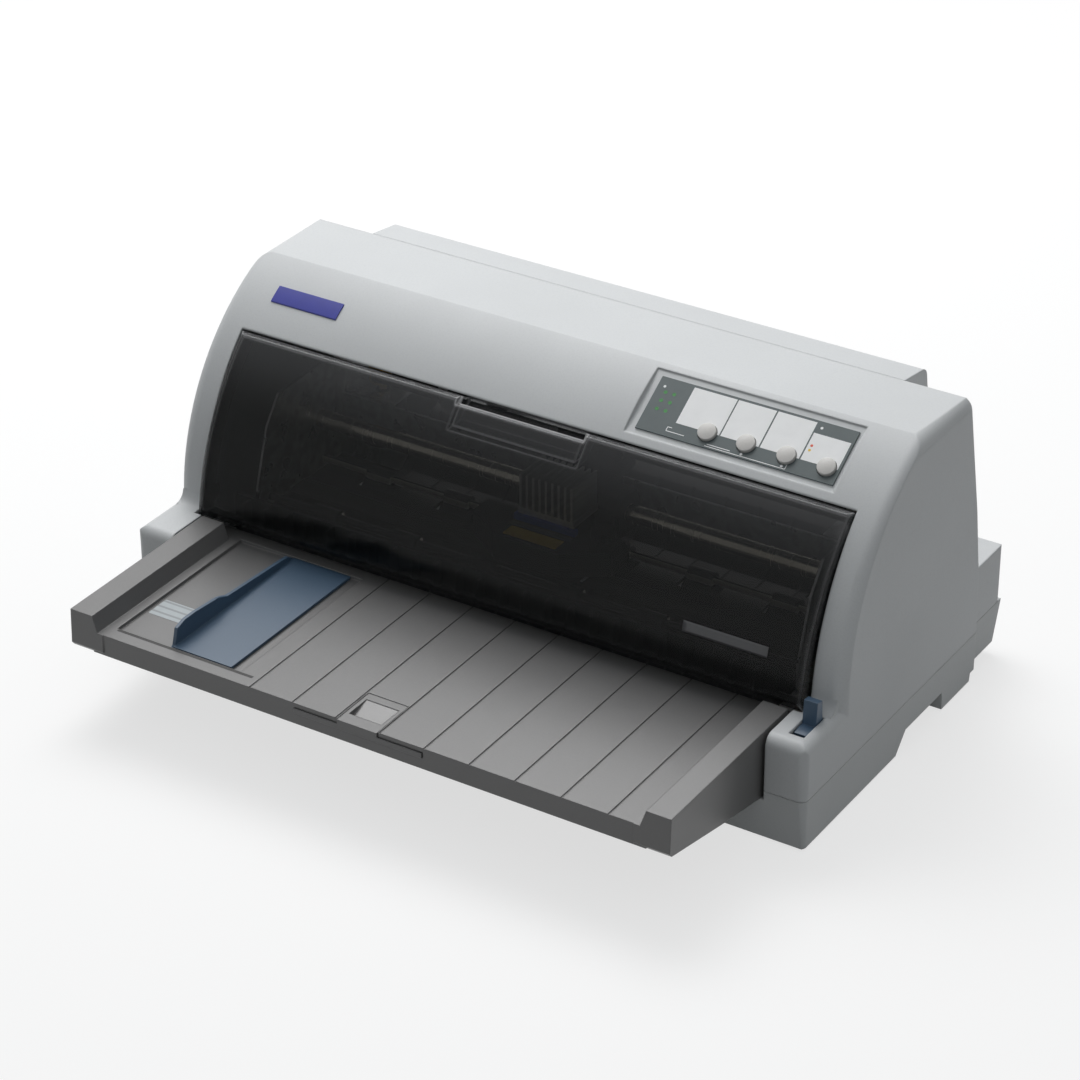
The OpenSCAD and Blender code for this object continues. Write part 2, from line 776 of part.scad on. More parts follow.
module rear_cover() {
  color(case_grey) placed() {
    difference() {
      across(rear_cover_w) rear_cover_profile(0);
      across(rear_cover_w - 2 * rear_cover_t) rear_cover_profile(rear_cover_t);
    }
    for (s = [-1, 1]) side_bar(s, ear_x - ear_w / 2, rear_cover_w / 2 - rear_cover_t + eps,
      rear_hinge_y, rear_hinge_z, hinge_r);
  }
}

// ---------- front sheet guide ----------

module front_sheet_guide() {
  out = -tray_out;
  color(tray_grey) placed() difference() {
    union() {
      // side walls with their rims
      for (s = [-1, 1]) across(tray_w / 2 - rim_x0 + 4, s * (tray_w / 2 + rim_x0 - 4) / 2)
        polygon([[out + 2, floor_z - 14.5], [out, floor_z - 12], [out + 1, rim_z], [rim_back, rim_z],
          [rim_back, floor_z], [tray_back, floor_z], [tray_back, tray_low], [0, tray_low],
          [-45, tray_low + 8]]);
      // floor, front lip, rear rib and the pockets under the floor
      box([-rim_x1, out + 1, floor_z - 3], [rim_x1, tray_back, floor_z]);
      box([-rim_x1, out + 1, floor_z - 14.4], [rim_x1, out + 4, floor_z]);
      box([-rim_x1, tray_back - 2.5, floor_z - 12], [rim_x1, tray_back, floor_z]);
      box([bay_x0 - 3, bay_y0 - 3, floor_z - 5], [bay_x1 + 3, bay_y1 + 3, floor_z - 1]);
      box([-support_w / 2 - 4, out + 1, support_z0 - 2.8], [support_w / 2 + 4, -8, floor_z - 1]);
      for (x = [-120, 80, 120, 160]) box([x - 1, out + 3, floor_z - 11], [x + 1, tray_back - 2, floor_z - 2]);
    }
    // slope of the rims' inner faces
    translate([0, 60, 0]) rotate([90, 0, 0]) linear_extrude(height = 200)
      polygon([[-rim_x0, floor_z], [rim_x0, floor_z], [rim_x1, rim_z + 1], [-rim_x1, rim_z + 1]]);
    // hollow under each side wall
    for (s = [-1, 1]) across(tray_w / 2 - rim_x1 - 5, s * (tray_w / 2 + rim_x1 - 2) / 2)
      polygon([[out + 4, 20], [out + 4, floor_z + 7], [rim_back - 3, floor_z + 7], [rim_back - 3, floor_z - 3],
        [tray_back - 3, floor_z - 3], [tray_back - 3, 20]]);
    // bay of the edge guide
    box([bay_x0, bay_y0, floor_z - bay_d], [bay_x1, bay_y1, floor_z + 1]);
    box([bay_x0, bay_y0, floor_z - bay_d - 1.3], [bay_x1, bay_y0 + 0.8, floor_z]);
    // pocket and notch of the pull-out support
    box([-support_w / 2 - rest_gap, out - 1, support_z0 - rest_gap],
      [support_w / 2 + rest_gap, -10, support_z1 + rest_gap]);
    box([-tongue_w / 2 - rest_gap, out - 1, support_z0],
      [tongue_w / 2 + rest_gap, tongue_back + rest_gap, floor_z + 1]);
    // grooves, counted outwards from beside the support's tongue
    for (k = [0:5]) groove(tongue_w / 2 + 1.4 + k * groove_pitch);
    for (k = [0:2]) groove(-tongue_w / 2 - 1.4 - k * groove_pitch);
  }
}

module groove(x) {
  box([x - 0.5, -tray_out - 1, floor_z - 0.6], [x + 0.5, tray_back + 1, floor_z + 1]);
}

module sheet_support() {
  color(tray_grey) placed() difference() {
    union() {
      box([-support_w / 2, -tray_out, support_z0], [support_w / 2, -30, support_z1]);
      box([-tongue_w / 2, -tray_out, support_z0], [tongue_w / 2, tongue_back, floor_z - 0.2]);
    }
    // finger recess that slopes down towards the front
    across(tongue_w - 5) polygon([[-tray_out + 9, floor_z - 4], [-tray_out + 9, floor_z + 1],
      [tongue_back - 6, floor_z + 1], [tongue_back - 6, floor_z - 0.6]]);
  }
}

module edge_guide() {
  low = floor_z - bay_d + rest_gap;
  color(blue) placed() {
    box([guide_x0 - eps, bay_y0 + 1, low], [guide_x1, bay_y1 - 1, floor_z]);
    across(2.2, guide_x0 - 1.1) polygon([[bay_y0 + 1, low], [bay_y0 + 3, floor_z], [bay_y0 + 6, floor_z + 10.4],
      [bay_y0 + 14, floor_z + 12.7], [bay_y0 + 24, floor_z + 12.7], [bay_y0 + 47, floor_z + 10.8],
      [bay_y0 + 56, floor_z + 7.4], [bay_y1 - 16, floor_z + 4.3], [bay_y1 - 7, floor_z + 3.5],
      [bay_y1 - 3, floor_z + 1], [bay_y1 - 1, low]]);
  }
}

// ---------- controls ----------

module panel_plate() {
  color([0.36, 0.42, 0.45]) placed() panel_frame() difference() {
    box([panel_x0 + 5.7, 4, -panel_sink], [panel_x1 - 2.7, 42, -panel_sink + plate_t]);
    for (x = button_xs) translate([x, button_up, -4]) cylinder(d = button_d + 0.8, h = 8);
    for (p = lamp_pts) translate([p[0], p[1], -4]) cylinder(r = 0.9, h = 8);
  }
}

module panel_board() {
  top = -panel_sink - board_drop;
  color([0.16, 0.38, 0.24]) placed() panel_frame() {
    box([panel_x0 + 2.7, 7, top - board_t], [panel_x1 - 1, 44, top]);
    // a switch under each button, and stand-offs up to the pad
    for (x = button_xs) translate([x - 3, button_up - 3, top]) cube([6, 6, 2.6]);
    for (x = [panel_x0 + 7.7, panel_x1 - 6], y = [26, 40])
      translate([x, y, top]) cylinder(r = 2, h = board_drop - pad_t);
  }
}

module indicator_lamps() {
  color([0.35, 0.75, 0.35]) placed() panel_frame() for (p = lamp_pts)
    translate([p[0], p[1], -panel_sink]) cylinder(r = 0.8, h = plate_t);
}

module button_at(x) {
  color([0.78, 0.77, 0.74]) placed() panel_frame() translate([x, button_up, 0]) {
    translate([0, 0, -panel_sink - 5.6]) cylinder(d = button_d, h = 5.6 + panel_sink + button_h - 1);
    // domed top, and the rim that keeps the button in its hole
    translate([0, 0, button_h - 1]) rotate_extrude() intersection() {
      square([button_d / 2, 1]);
      translate([0, -21]) circle(r = 22);
    }
    translate([0, 0, -panel_sink - 5.6]) cylinder(d = button_d + 2.4, h = 1.6);
  }
}
module button_1() { button_at(button_xs[0]); }
module button_2() { button_at(button_xs[1]); }
module button_3() { button_at(button_xs[2]); }
module button_4() { button_at(button_xs[3]); }

module badge_plate() {
  color([0.16, 0.18, 0.55]) placed() intersection() {
    across(49.6, badge_x) difference() {
      translate([nose_y, nose_z]) circle(r = nose_r + 0.8);
      translate([nose_y, nose_z]) circle(r = nose_r + 0.02);
    }
    box([-half_w, 108.9, 150], [0, 118.8, top_z + 2]);
  }
}

module release_lever() {
  color(blue) placed() {
    across(lever_w, lever_x) {
      intersection() {
        translate([lever_y, lever_z]) circle(r = lever_r);
        polygon([[lever_y, lever_z - 3], [lever_y - 9, lever_z + 40], [lever_y + 13, lever_z + 40]]);
      }
      polygon([[lever_y + 3, lever_z + lever_r - 4], [lever_y + 4.5, shoulder_z + lever_up],
        [lever_y + 10, shoulder_z + lever_up - 0.8], [lever_y + 11.5, lever_z + lever_r - 4]]);
      translate([lever_y, lever_z]) circle(r = 7);
    }
    bar(shoulder_in + 0.3, lever_x + 8, lever_y, lever_z, lever_pin_r);
  }
}

// Rocker of the power switch, drawn off.
module power_switch() {
  h = switch_h - 0.8;
  out = -half_w - switch_x + 0.3;
  wing = switch_l / 2 - 1;
  color([0.10, 0.10, 0.10]) placed() translate([switch_x, switch_y, switch_z]) {
    translate([0, 0, -h / 2]) linear_extrude(height = h) rotate(-switch_tilt)
      polygon([[out, 0], [out + 1, wing], [-1, wing], [3, 3], [3, -3], [-1, -wing], [out + 1, -wing]]);
    translate([0, 0, -switch_h / 2 - 2]) cylinder(r = 1.5, h = switch_h + 4);
  }
}

// ---------- chassis and paper path ----------

frame_outline = [[frame_y0, frame_low], [frame_y0, 78], [frame_y0 + 13, 118], [frame_y0 + 27, frame_top],
  [frame_y1 - 10, frame_top], [frame_y1 - 2, 122], [frame_y1, 70], [frame_y1, frame_low]];

module base_pan() {
  color(steel) placed() difference() {
    union() {
      box([-pan_x, frame_y0 - 2, pan_z], [pan_x, frame_y1 + 2, pan_z + pan_t]);
      for (s = [-1, 1]) side_box(s, [pan_x - pan_t, frame_y0 - 2, pan_z], [pan_x, frame_y1 + 2, pan_z + 7]);
    }
    for (x = [-160:40:160], y = [95, 165]) translate([x, y, pan_z - 1]) cylinder(r = 7, h = 4);
  }
}

module side_frame(s) {
  color(steel) placed() difference() {
    union() {
      across(frame_t, s * (frame_x - frame_t / 2)) polygon(frame_outline);
      // feet turned in on the pan, and the tab that carries a belt pulley
      for (y = [frame_y0 + 12, frame_y1 - 14])
        side_box(s, [frame_x - 14, y - 8, frame_low], [frame_x, y + 8, frame_low + frame_t]);
      side_box(s, [pulley_x - 18, belt_y - 14, tab_z], [frame_x - 0.2, belt_y + 14, tab_z + frame_t]);
      // pins of the idler pulley and the idler gear
      if (s > 0) {
        translate([pulley_x, belt_y, tab_z]) cylinder(r = pulley_pin_r, h = stay_z - tab_z);
        translate([pulley_x, belt_y, tab_z]) cylinder(r = 4.5, h = belt_z - 0.4 - flange_h - rest_gap - tab_z);
        bar(frame_x - 0.2, gear_x + gear_w + 2, print_y, roll_z, stub_r);
      }
    }
    for (y = [front_roll_y, rear_roll_y]) {
      bar(-half_w, half_w, y, roll_z, feed_shaft_r + run_gap);
      bar(-half_w, half_w, y, pinch_z, pinch_shaft_r + run_gap);
    }
    bar(-half_w, half_w, guide_y, guide_z, guide_r + 0.02);
    if (s > 0) bar(frame_x - 5, half_w, pinion_y, pinion_z, 4);
    if (s < 0) translate([-pulley_x, belt_y, tab_z - 1]) cylinder(r = 5, h = 5);
    // lightening holes
    across(case_w) for (p = [[100, 40], [168, 62]]) translate(p) rounded_square([22, 16], 5);
  }
}
module frame_left() { side_frame(-1); }
module frame_right() { side_frame(1); }

module frame_stays() {
  color(steel) placed() {
    box([-frame_in, stay_y, stay_z], [frame_in, stay_y + 8, stay_z + 2]);
    box([-frame_in, stay_y, stay_z], [frame_in, stay_y + 2, frame_top - 1]);
    box([-frame_in, frame_y0 + 1, frame_low + 4], [frame_in, frame_y0 + 9, frame_low + 6]);
    box([-frame_in, frame_y0 + 7, frame_low + 4], [frame_in, frame_y0 + 9, frame_low + 12]);
  }
}

module guide_shaft() {
  color([0.78, 0.77, 0.72]) placed() bar(-frame_x - 1.5, frame_x + 1.2, guide_y, guide_z, guide_r);
}

module rear_rail() {
  color(steel) placed() {
    box([-frame_in, rail_y, rail_z0], [frame_in, rail_y + rail_t, rail_z1]);
    box([-frame_in, rail_y - 6, rail_z0 - 1], [frame_in, rail_y + rail_t, rail_z0 + 1]);
  }
}

module platen() {
  half = platen_w / 2;
  color(rubber) placed() across(2 * frame_in) difference() {
    translate([print_y - half, floor_z - 16]) square([platen_w, 17.2]);
    for (s = [-1, 1]) translate([print_y + s * (half - 3), floor_z - 1.8]) corner_waste(3, s, 1);
  }
}

// Openings through which the feed rollers reach the paper.
module guide_slots(y) {
  for (x = roll_xs) box([x - roll_w / 2 - 2, y - feed_r - 1.5, 30], [x + roll_w / 2 + 2, y + feed_r + 1.5, 90]);
}

module front_paper_guide() {
  y0 = tray_back + rest_gap;
  y1 = print_y - platen_w / 2 - 1;
  color(dark) placed() difference() {
    union() {
      box([-frame_in, y0, floor_z - 2.2], [frame_in, y1, floor_z - 0.2]);
      box([-frame_in, y0 + 2, floor_z - 12], [frame_in, y0 + 4, floor_z - 1]);
      for (x = [-180:12:180]) box([x - 0.6, y0 + 1, floor_z - 1], [x + 0.6, y1 - 1, floor_z + 0.2]);
    }
    guide_slots(front_roll_y);
  }
}

// Flat guide behind the platen, and the ramp up to the slot in the back, clear of the belt motor.
module rear_paper_guide() {
  y0 = print_y + platen_w / 2 + 1;
  y1 = print_y + 50;
  y2 = main_d - 9;
  ramp_z = rear_z + 15;
  color(dark) placed() difference() {
    union() {
      box([-frame_in, y0, floor_z - 2.2], [frame_in, y1, floor_z - 0.2]);
      across(2 * (pulley_x - carriage_motor_r - 9.5)) polygon([[y1 - 2, floor_z - 2.2],
        [y1 + 6, floor_z - 2.2], [y2 - 8, ramp_z - 4], [y2, ramp_z],
        [y2, ramp_z + 2], [y2 - 10, ramp_z - 2], [y1 + 4, floor_z - 0.2], [y1 - 2, floor_z - 0.2]]);
      for (x = [-144:24:144]) across(1.2, x) polygon([[y0 + 32, floor_z - 1], [y1 + 5, floor_z - 1],
        [y2 - 9, ramp_z - 3], [y2 - 10, ramp_z - 0.5], [y1 + 3.5, floor_z + 0.6], [y0 + 32, floor_z + 0.6]]);
    }
    guide_slots(rear_roll_y);
  }
}

// ---------- feed rollers and gears ----------

front_turn = 0;
idler_turn = mesh_turn(front_turn, roller_teeth, idler_teeth, 0);
rear_turn = mesh_turn(idler_turn, idler_teeth, roller_teeth, 0);
pinion_turn = mesh_turn(rear_turn, roller_teeth, pinion_teeth, pinion_angle);

module feed_shaft(y) {
  x1 = gear_x + gear_w + 3;
  color(steel) placed() difference() {
    bar(-frame_x - 2, x1, y, roll_z, feed_shaft_r);
    // flat on the end that takes the gear
    box([x1 - 1.4, y + feed_shaft_r - 1.4, roll_z - 5], [x1 + 1, y + 6, roll_z + 5]);
  }
}
module front_feed_shaft() { feed_shaft(front_roll_y); }
module rear_feed_shaft() { feed_shaft(rear_roll_y); }

module feed_tyres(y) {
  color(rubber) placed() difference() {
    for (x = roll_xs) bar(x - roll_w / 2, x + roll_w / 2, y, roll_z, feed_r);
    bar(-half_w, half_w, y, roll_z, feed_shaft_r + 0.02);
  }
}
module front_feed_rollers() { feed_tyres(front_roll_y); }
module rear_feed_rollers() { feed_tyres(rear_roll_y); }

module front_feed_gear() {
  color(nylon) placed() gear(front_roll_y, roll_z, roller_teeth, front_turn, feed_shaft_r + 0.02, 7);
}
module rear_feed_gear() {
  color(nylon) placed() gear(rear_roll_y, roll_z, roller_teeth, rear_turn, feed_shaft_r + 0.02, 7);
}
module idler_gear() {
  color(nylon) placed() gear(print_y, roll_z, idler_teeth, idler_turn, stub_r + run_gap, 5);
}
module motor_pinion() {
  color(brass) placed() {
    gear(pinion_y, pinion_z, pinion_teeth, pinion_turn, 2.4, 4);
    bar(frame_in - 8, gear_x + gear_w + 1.4, pinion_y, pinion_z, 2.5);
  }
}

module pinch_rollers(y) {
  color(dark) placed() {
    bar(-frame_x + 0.2, frame_x - 0.2, y, pinch_z, pinch_shaft_r);
    for (x = roll_xs) bar(x - roll_w / 2 + 3, x + roll_w / 2 - 3, y, pinch_z, pinch_r);
  }
}
module front_pinch_rollers() { pinch_rollers(front_roll_y); }
module rear_pinch_rollers() { pinch_rollers(rear_roll_y); }

module feed_motor() {
  color([0.25, 0.25, 0.26]) placed() difference() {
    union() {
      bar(frame_in - 28, frame_in - 2, pinion_y, pinion_z, feed_motor_r - 1);
      bar(frame_in - 2, frame_in, pinion_y, pinion_z, feed_motor_r);
    }
    bar(frame_in - 12, frame_in + 1, pinion_y, pinion_z, 2.5 + run_gap);
  }
}

// ---------- carriage ----------

module at_carriage() {
  placed() translate([carriage_rest, 0, 0]) children();
}

module carriage() {
  fork_y = rail_y + rail_t;
  color(dark) at_carriage() difference() {
    union() {
      // block on the guide shaft
      across(carriage_w) polygon([[guide_y - 13, guide_z - 14], [guide_y + 12, guide_z - 14],
        [guide_y + 13, guide_z + 4], [guide_y + 9, guide_z + 13], [guide_y - 9, guide_z + 13],
        [guide_y - 13, guide_z + 6]]);
      // fork over the rear rail, and the arm to the belt clamp
      across(30) polygon([[guide_y + 8, guide_z + 6], [rail_y - 5, guide_z + 3], [rail_y - 5, guide_z - 4],
        [fork_y + 4, guide_z - 4], [fork_y + 4, guide_z + 8.5], [belt_run + 3, guide_z + 10],
        [belt_run + 3, guide_z + 14], [guide_y + 8, guide_z + 13]]);
      across(16) translate([belt_run - 3, guide_z + 12]) square([6, belt_z + belt_h - guide_z - 12]);
      // deck under the cartridge, and a cheek at each side of the head
      box([-carriage_w / 2, print_y - 40, deck_z], [carriage_w / 2, guide_y - 12, deck_z + deck_t]);
      for (s = [-1, 1]) across(3, s * (carriage_w / 2 - 1.5)) polygon([[print_y + 3.5, deck_z],
        [guide_y - 12, deck_z], [guide_y - 12, guide_z + 4], [print_y + 9, guide_z - 2],
        [print_y + 3.5, deck_z + 8]]);
      // seat of the flat cable
      box([-34, guide_y + 9, guide_z + 4], [-20, guide_y + 16, cable_z - rest_gap]);
    }
    bar(-half_w, half_w, guide_y, guide_z, guide_r + run_gap);
    box([-20, rail_y - 0.4, guide_z - 10], [20, fork_y + 0.4, rail_z1 + 0.6]);
    box([-20, belt_run - belt_t / 2 - 0.3, belt_z - 0.4], [20, belt_run + belt_t / 2 + 0.3, belt_z + 10]);
    box([-11, print_y - 10, deck_z - 8], [11, print_y + 10, deck_z + 12]);
  }
}

module print_head() {
  nose_low = floor_z + 3.4;
  color([0.22, 0.22, 0.23]) at_carriage() difference() {
    union() {
      box([-10, print_y - 9, 70], [10, print_y + 9, 84]);
      across(8) polygon([[print_y - 9, 72], [print_y - 3, nose_low], [print_y + 3, nose_low],
        [print_y + 9, 72]]);
      box([-head_w / 2, print_y - 13, cartridge_z], [head_w / 2, print_y + 12, head_top]);
    }
    // two columns of needle holes in the nose
    for (s = [-1, 1], i = [0:5])
      translate([s * 1.4, print_y - 2.2 + 0.88 * i, floor_z + 3]) cylinder(r = 0.2, h = 1.6);
  }
}

// Blue bar that locks the head down, in front of it.
module head_clamp() {
  color([0.14, 0.24, 0.52]) at_carriage() difference() {
    box([-head_w / 2 - 4, print_y - 17, cartridge_z + cartridge_h + 0.4],
      [head_w / 2 + 4, print_y - 13, head_top - 0.2]);
    for (s = [-1, 1])
      translate([s * head_w / 2, print_y - 17.2, head_top + 1]) rotate([-90, 0, 0]) cylinder(r = 2.4, h = 4.4);
  }
}

module head_heatsink() {
  color([0.70, 0.70, 0.68]) at_carriage() {
    box([-head_w / 2 - 2, print_y - 15, head_top], [head_w / 2 + 2, print_y + 14, head_top + 4]);
    for (i = [-4:4])
      box([i * 4.6 - 0.8, print_y - 15, head_top + 3], [i * 4.6 + 0.8, print_y + 14, head_top + 27]);
  }
}

// Cartridge whose two arms reach round the head, with the knob's seat in the right arm.
module ribbon_cartridge() {
  y0 = print_y - 38;
  color([0.20, 0.20, 0.21]) at_carriage() difference() {
    translate([0, 0, cartridge_z]) linear_extrude(height = cartridge_h)
      polygon([[-24, y0], [24, y0], [50, y0 + 18], [50, y0 + 40], [24, y0 + 40], [24, y0 + 24], [-24, y0 + 24],
        [-24, y0 + 40], [-50, y0 + 40], [-50, y0 + 18]]);
    translate([knob_x, knob_y, cartridge_z + 8.8]) cylinder(r = 3 + run_gap, h = 12);
    // step down to the arms' ends
    for (s = [-1, 1]) side_box(s, [23, y0 + 35, cartridge_z + 13], [51, y0 + 42, cartridge_z + 20]);
  }
}

module ribbon_mask() {
  color(steel) at_carriage() difference() {
    union() {
      box([-26, print_y - 14, floor_z + 4.6], [26, print_y + 14, floor_z + 5]);
      for (s = [-1, 1]) side_box(s, [25, print_y - 8, floor_z + 4.6], [26, print_y + 8, deck_z]);
    }
    box([-5, print_y - 8, floor_z], [5, print_y + 8, floor_z + 8]);
  }
}

module ribbon_knob() {
  top = cartridge_z + cartridge_h;
  color([0.30, 0.31, 0.33]) at_carriage() translate([knob_x, knob_y, 0]) {
    translate([0, 0, cartridge_z + 9.2]) cylinder(r = 3, h = cartridge_h - 8);
    translate([0, 0, top + 0.4]) linear_extrude(height = 6) difference() {
      circle(r = 8);
      for (i = [0:11]) rotate(i * 30) translate([8.6, 0]) circle(r = 1.3);
    }
  }
}

module carriage_motor() {
  color([0.25, 0.25, 0.26]) placed() translate([-pulley_x, belt_y, 0]) difference() {
    union() {
      translate([0, 0, tab_z - 34]) cylinder(r = carriage_motor_r, h = 34);
      translate([0, 0, tab_z - 6]) cylinder(r = 4.6, h = 8);
    }
    translate([0, 0, tab_z - 14]) cylinder(r = pulley_pin_r + run_gap, h = 20);
  }
}

// Pulley with flanges; the motor's one has a shaft, the idler's one a bore.
module belt_pulley(shaft) {
  core_r = pulley_r - belt_t / 2 - 0.3;
  difference() {
    union() {
      translate([0, 0, belt_z - 0.4]) cylinder(r = core_r, h = belt_h + 0.8);
      for (z = [belt_z - 0.4 - flange_h, belt_z + belt_h + 0.4])
        translate([0, 0, z]) cylinder(r = pulley_r + 2, h = flange_h);
      if (shaft) translate([0, 0, tab_z - 12]) cylinder(r = pulley_pin_r, h = belt_z + belt_h + 4 - tab_z + 12);
    }
    if (!shaft) translate([0, 0, belt_z - 5]) cylinder(r = pulley_pin_r + run_gap, h = belt_h + 12);
    for (i = [0:11]) rotate(i * 30) translate([core_r + 0.2, 0, belt_z]) cylinder(r = 0.6, h = belt_h);
  }
}
module motor_pulley() {
  color(brass) placed() translate([-pulley_x, belt_y, 0]) belt_pulley(true);
}
module idler_pulley() {
  color(nylon) placed() translate([pulley_x, belt_y, 0]) belt_pulley(false);
}

module drive_belt() {
  color(rubber) placed() translate([0, belt_y, belt_z]) linear_extrude(height = belt_h) difference() {
    belt_loop(pulley_r + belt_t / 2);
    belt_loop(pulley_r - belt_t / 2);
  }
}
module belt_loop(r) {
  square([2 * pulley_x, 2 * r], center = true);
  for (s = [-1, 1]) translate([s * pulley_x, 0]) circle(r = r);
}

// Flat cable: along the rear stay, round a bend and back over its seat on the carriage.
module head_cable() {
  r = (stay_y - guide_y - 12) / 2;
  run = 100;
  color([0.70, 0.71, 0.72]) placed() translate([-run, stay_y - r, cable_z]) linear_extrude(height = cable_h)
    difference() {
      cable_bend(r, run);
      cable_bend(r - cable_t, run + 1);
      translate([run - 22, -r - 1]) square([24, r]);
    }
}
module cable_bend(r, run) {
  circle(r = r);
  translate([0, -r]) square([run, 2 * r]);
}

// ---------- electronics ----------

module main_board() {
  top = board_z + board_t;
  color([0.14, 0.36, 0.22]) placed() {
    box([board_x0, board_y0, board_z], [board_x1, board_y1, top]);
    // chips, capacitors and the connectors for the head and the motors
    for (p = [[30, 16, 24, 24], [80, 12, 28, 28], [130, 18, 18, 12], [170, 16, 20, 14], [60, 60, 34, 12]])
      translate([board_x0 + p[0], board_y0 + p[1], top - eps]) cube([p[2], p[3], 2.4]);
    for (x = [15, 60, 200, 212]) translate([board_x0 + x, board_y0 + 48, top - eps]) cylinder(r = 3.5, h = 6);
    for (x = [100, 174]) translate([board_x0 + x, board_y0 + 84, top - eps]) cube([44, 6, 6]);
  }
}

module power_supply() {
  top = supply_z + board_t;
  color([0.20, 0.38, 0.26]) placed() {
    box([supply_x0, main_d + 2, supply_z], [supply_x1, rear_y - 11.4, top]);
    // transformer, capacitors and a finned heat sink
    translate([supply_x0 + 12, main_d + 10, top - eps]) cube([32, 22, 30]);
    for (x = [56, 70]) translate([supply_x0 + x, main_d + 17, top - eps]) cylinder(r = 5.5, h = 26);
    translate([supply_x0 + 80, main_d + 8, top - eps]) {
      cube([4, 24, 28]);
      for (i = [0:4]) translate([3, 5.4 * i, 0]) cube([9, 1.4, 28]);
    }
  }
}

module inlet_hole() {
  box([inlet_x - 14, rear_y - 8, inlet_z - 10], [inlet_x + 14, rear_y + 2, inlet_z + 10]);
}
module power_inlet() {
  color([0.08, 0.08, 0.08]) placed() translate([inlet_x, rear_y, inlet_z]) {
    difference() {
      union() {
        box([-13.8, -24, -9.8], [13.8, -0.2, 9.8]);
        box([-22, -wall - 2, -13], [22, -wall - 0.02, 13]);
      }
      box([-12, -17, -8], [12, 1, 8]);
    }
    for (p = [[-7, 1.5], [0, -2.5], [7, 1.5]]) box([p[0] - 1, -18, p[1] - 2.5], [p[0] + 1, -5, p[1] + 2.5]);
  }
}

module port_holes() {
  box([port_x - 34, rear_y - 8, port_z - 8.5], [port_x + 34, rear_y + 2, port_z + 8.5]);
  box([port_x + 48, rear_y - 8, port_z - 7], [port_x + 62, rear_y + 2, port_z + 7]);
}
module interface_ports() {
  color([0.55, 0.56, 0.57]) placed() translate([port_x, rear_y, port_z]) {
    difference() {
      union() {
        box([-33.4, -18, -8], [33.4, -0.4, 8]);
        box([48.4, -17, -6.6], [61.6, -0.4, 6.6]);
      }
      box([-28, -12, -5], [28, 1, 5]);
      box([50.5, -12, -4.6], [59.5, 1, 4.6]);
    }
    // contact tongues, and the board behind
    box([-24, -12.5, -1.6], [24, -5.5, 1.6]);
    box([53, -12.5, -2.6], [57, -5.5, 2.6]);
    box([48.4, -17, -8.5], [61.6, -wall - 1, -6]);
    box([-42, -40, -10], [68, -wall - 1, -8]);
  }
}

// ---------- rear tractor ----------

module tractor_frame() {
  color(dark) placed() {
    for (s = [-1, 1]) across(3, s * (tractor_x + 1.5)) difference() {
      polygon([[main_d + 8, rear_z], [main_d + 40, rear_z], [main_d + 40, rear_z + 31],
        [main_d + 34, rear_z + 37], [main_d + 22, rear_z + 37], [main_d + 8, rear_z + 21]]);
      translate([drive_y, drive_z]) circle(r = tractor_shaft_r + run_gap);
    }
    bar(-tractor_x, tractor_x, tractor_bar_y, tractor_bar_z, tractor_bar_r);
  }
}

// Square-ended drive shaft with its turning knob.
module tractor_shaft() {
  color(steel) placed() {
    bar(-tractor_x - 4, tractor_x + 4, drive_y, drive_z, tractor_shaft_r);
    bar(tractor_x + 3.6, tractor_x + 8, drive_y, drive_z, 8);
  }
}

module tractor_unit(x) {
  top = rear_z + 33;
  color(dark) placed() {
    across(16, x) difference() {
      polygon([[main_d + 11, top - 24], [main_d + 39, top - 24], [main_d + 41, top - 8], [main_d + 38, top],
        [main_d + 14, top], [main_d + 10, top - 8]]);
      translate([tractor_bar_y, tractor_bar_z]) circle(r = tractor_bar_r + run_gap);
      translate([drive_y, drive_z]) circle(r = tractor_shaft_r + run_gap);
    }
    // pins that take the holes at the paper's edge
    for (i = [0:1]) translate([x, main_d + 18 + 12.7 * i, top - 0.5]) cylinder(r1 = 1.9, r2 = 1.1, h = 3);
    // flap, shut
    across(15, x) translate([main_d + 13, top + 3.5]) square([25, 2]);
    for (y = [main_d + 14, main_d + 36.5]) box([x - 7, y, top - 0.1], [x + 7, y + 1.5, top + 3.6]);
  }
}
module tractor_left() { tractor_unit(-120); }
module tractor_right() { tractor_unit(120); }

lower_case();
upper_case();
rubber_feet();
case_screws();
base_pan();
frame_left();
frame_right();
frame_stays();
guide_shaft();
rear_rail();
platen();
front_paper_guide();
rear_paper_guide();
main_board();
power_supply();
power_inlet();
power_switch();
interface_ports();
panel_plate();
panel_board();
indicator_lamps();
badge_plate();
front_sheet_guide();
sheet_support();
edge_guide();
front_cover();
cover_paper_guide();
rear_cover();
release_lever();
button_1();
button_2();
button_3();
button_4();
carriage();
print_head();
head_clamp();
head_heatsink();
ribbon_cartridge();
ribbon_mask();
ribbon_knob();
carriage_motor();
motor_pulley();
idler_pulley();
drive_belt();
head_cable();
feed_motor();
motor_pinion();
idler_gear();
front_feed_shaft();
front_feed_rollers();
front_feed_gear();
rear_feed_shaft();
rear_feed_rollers();
rear_feed_gear();
front_pinch_rollers();
rear_pinch_rollers();
tractor_frame();
tractor_shaft();
tractor_left();
tractor_right();
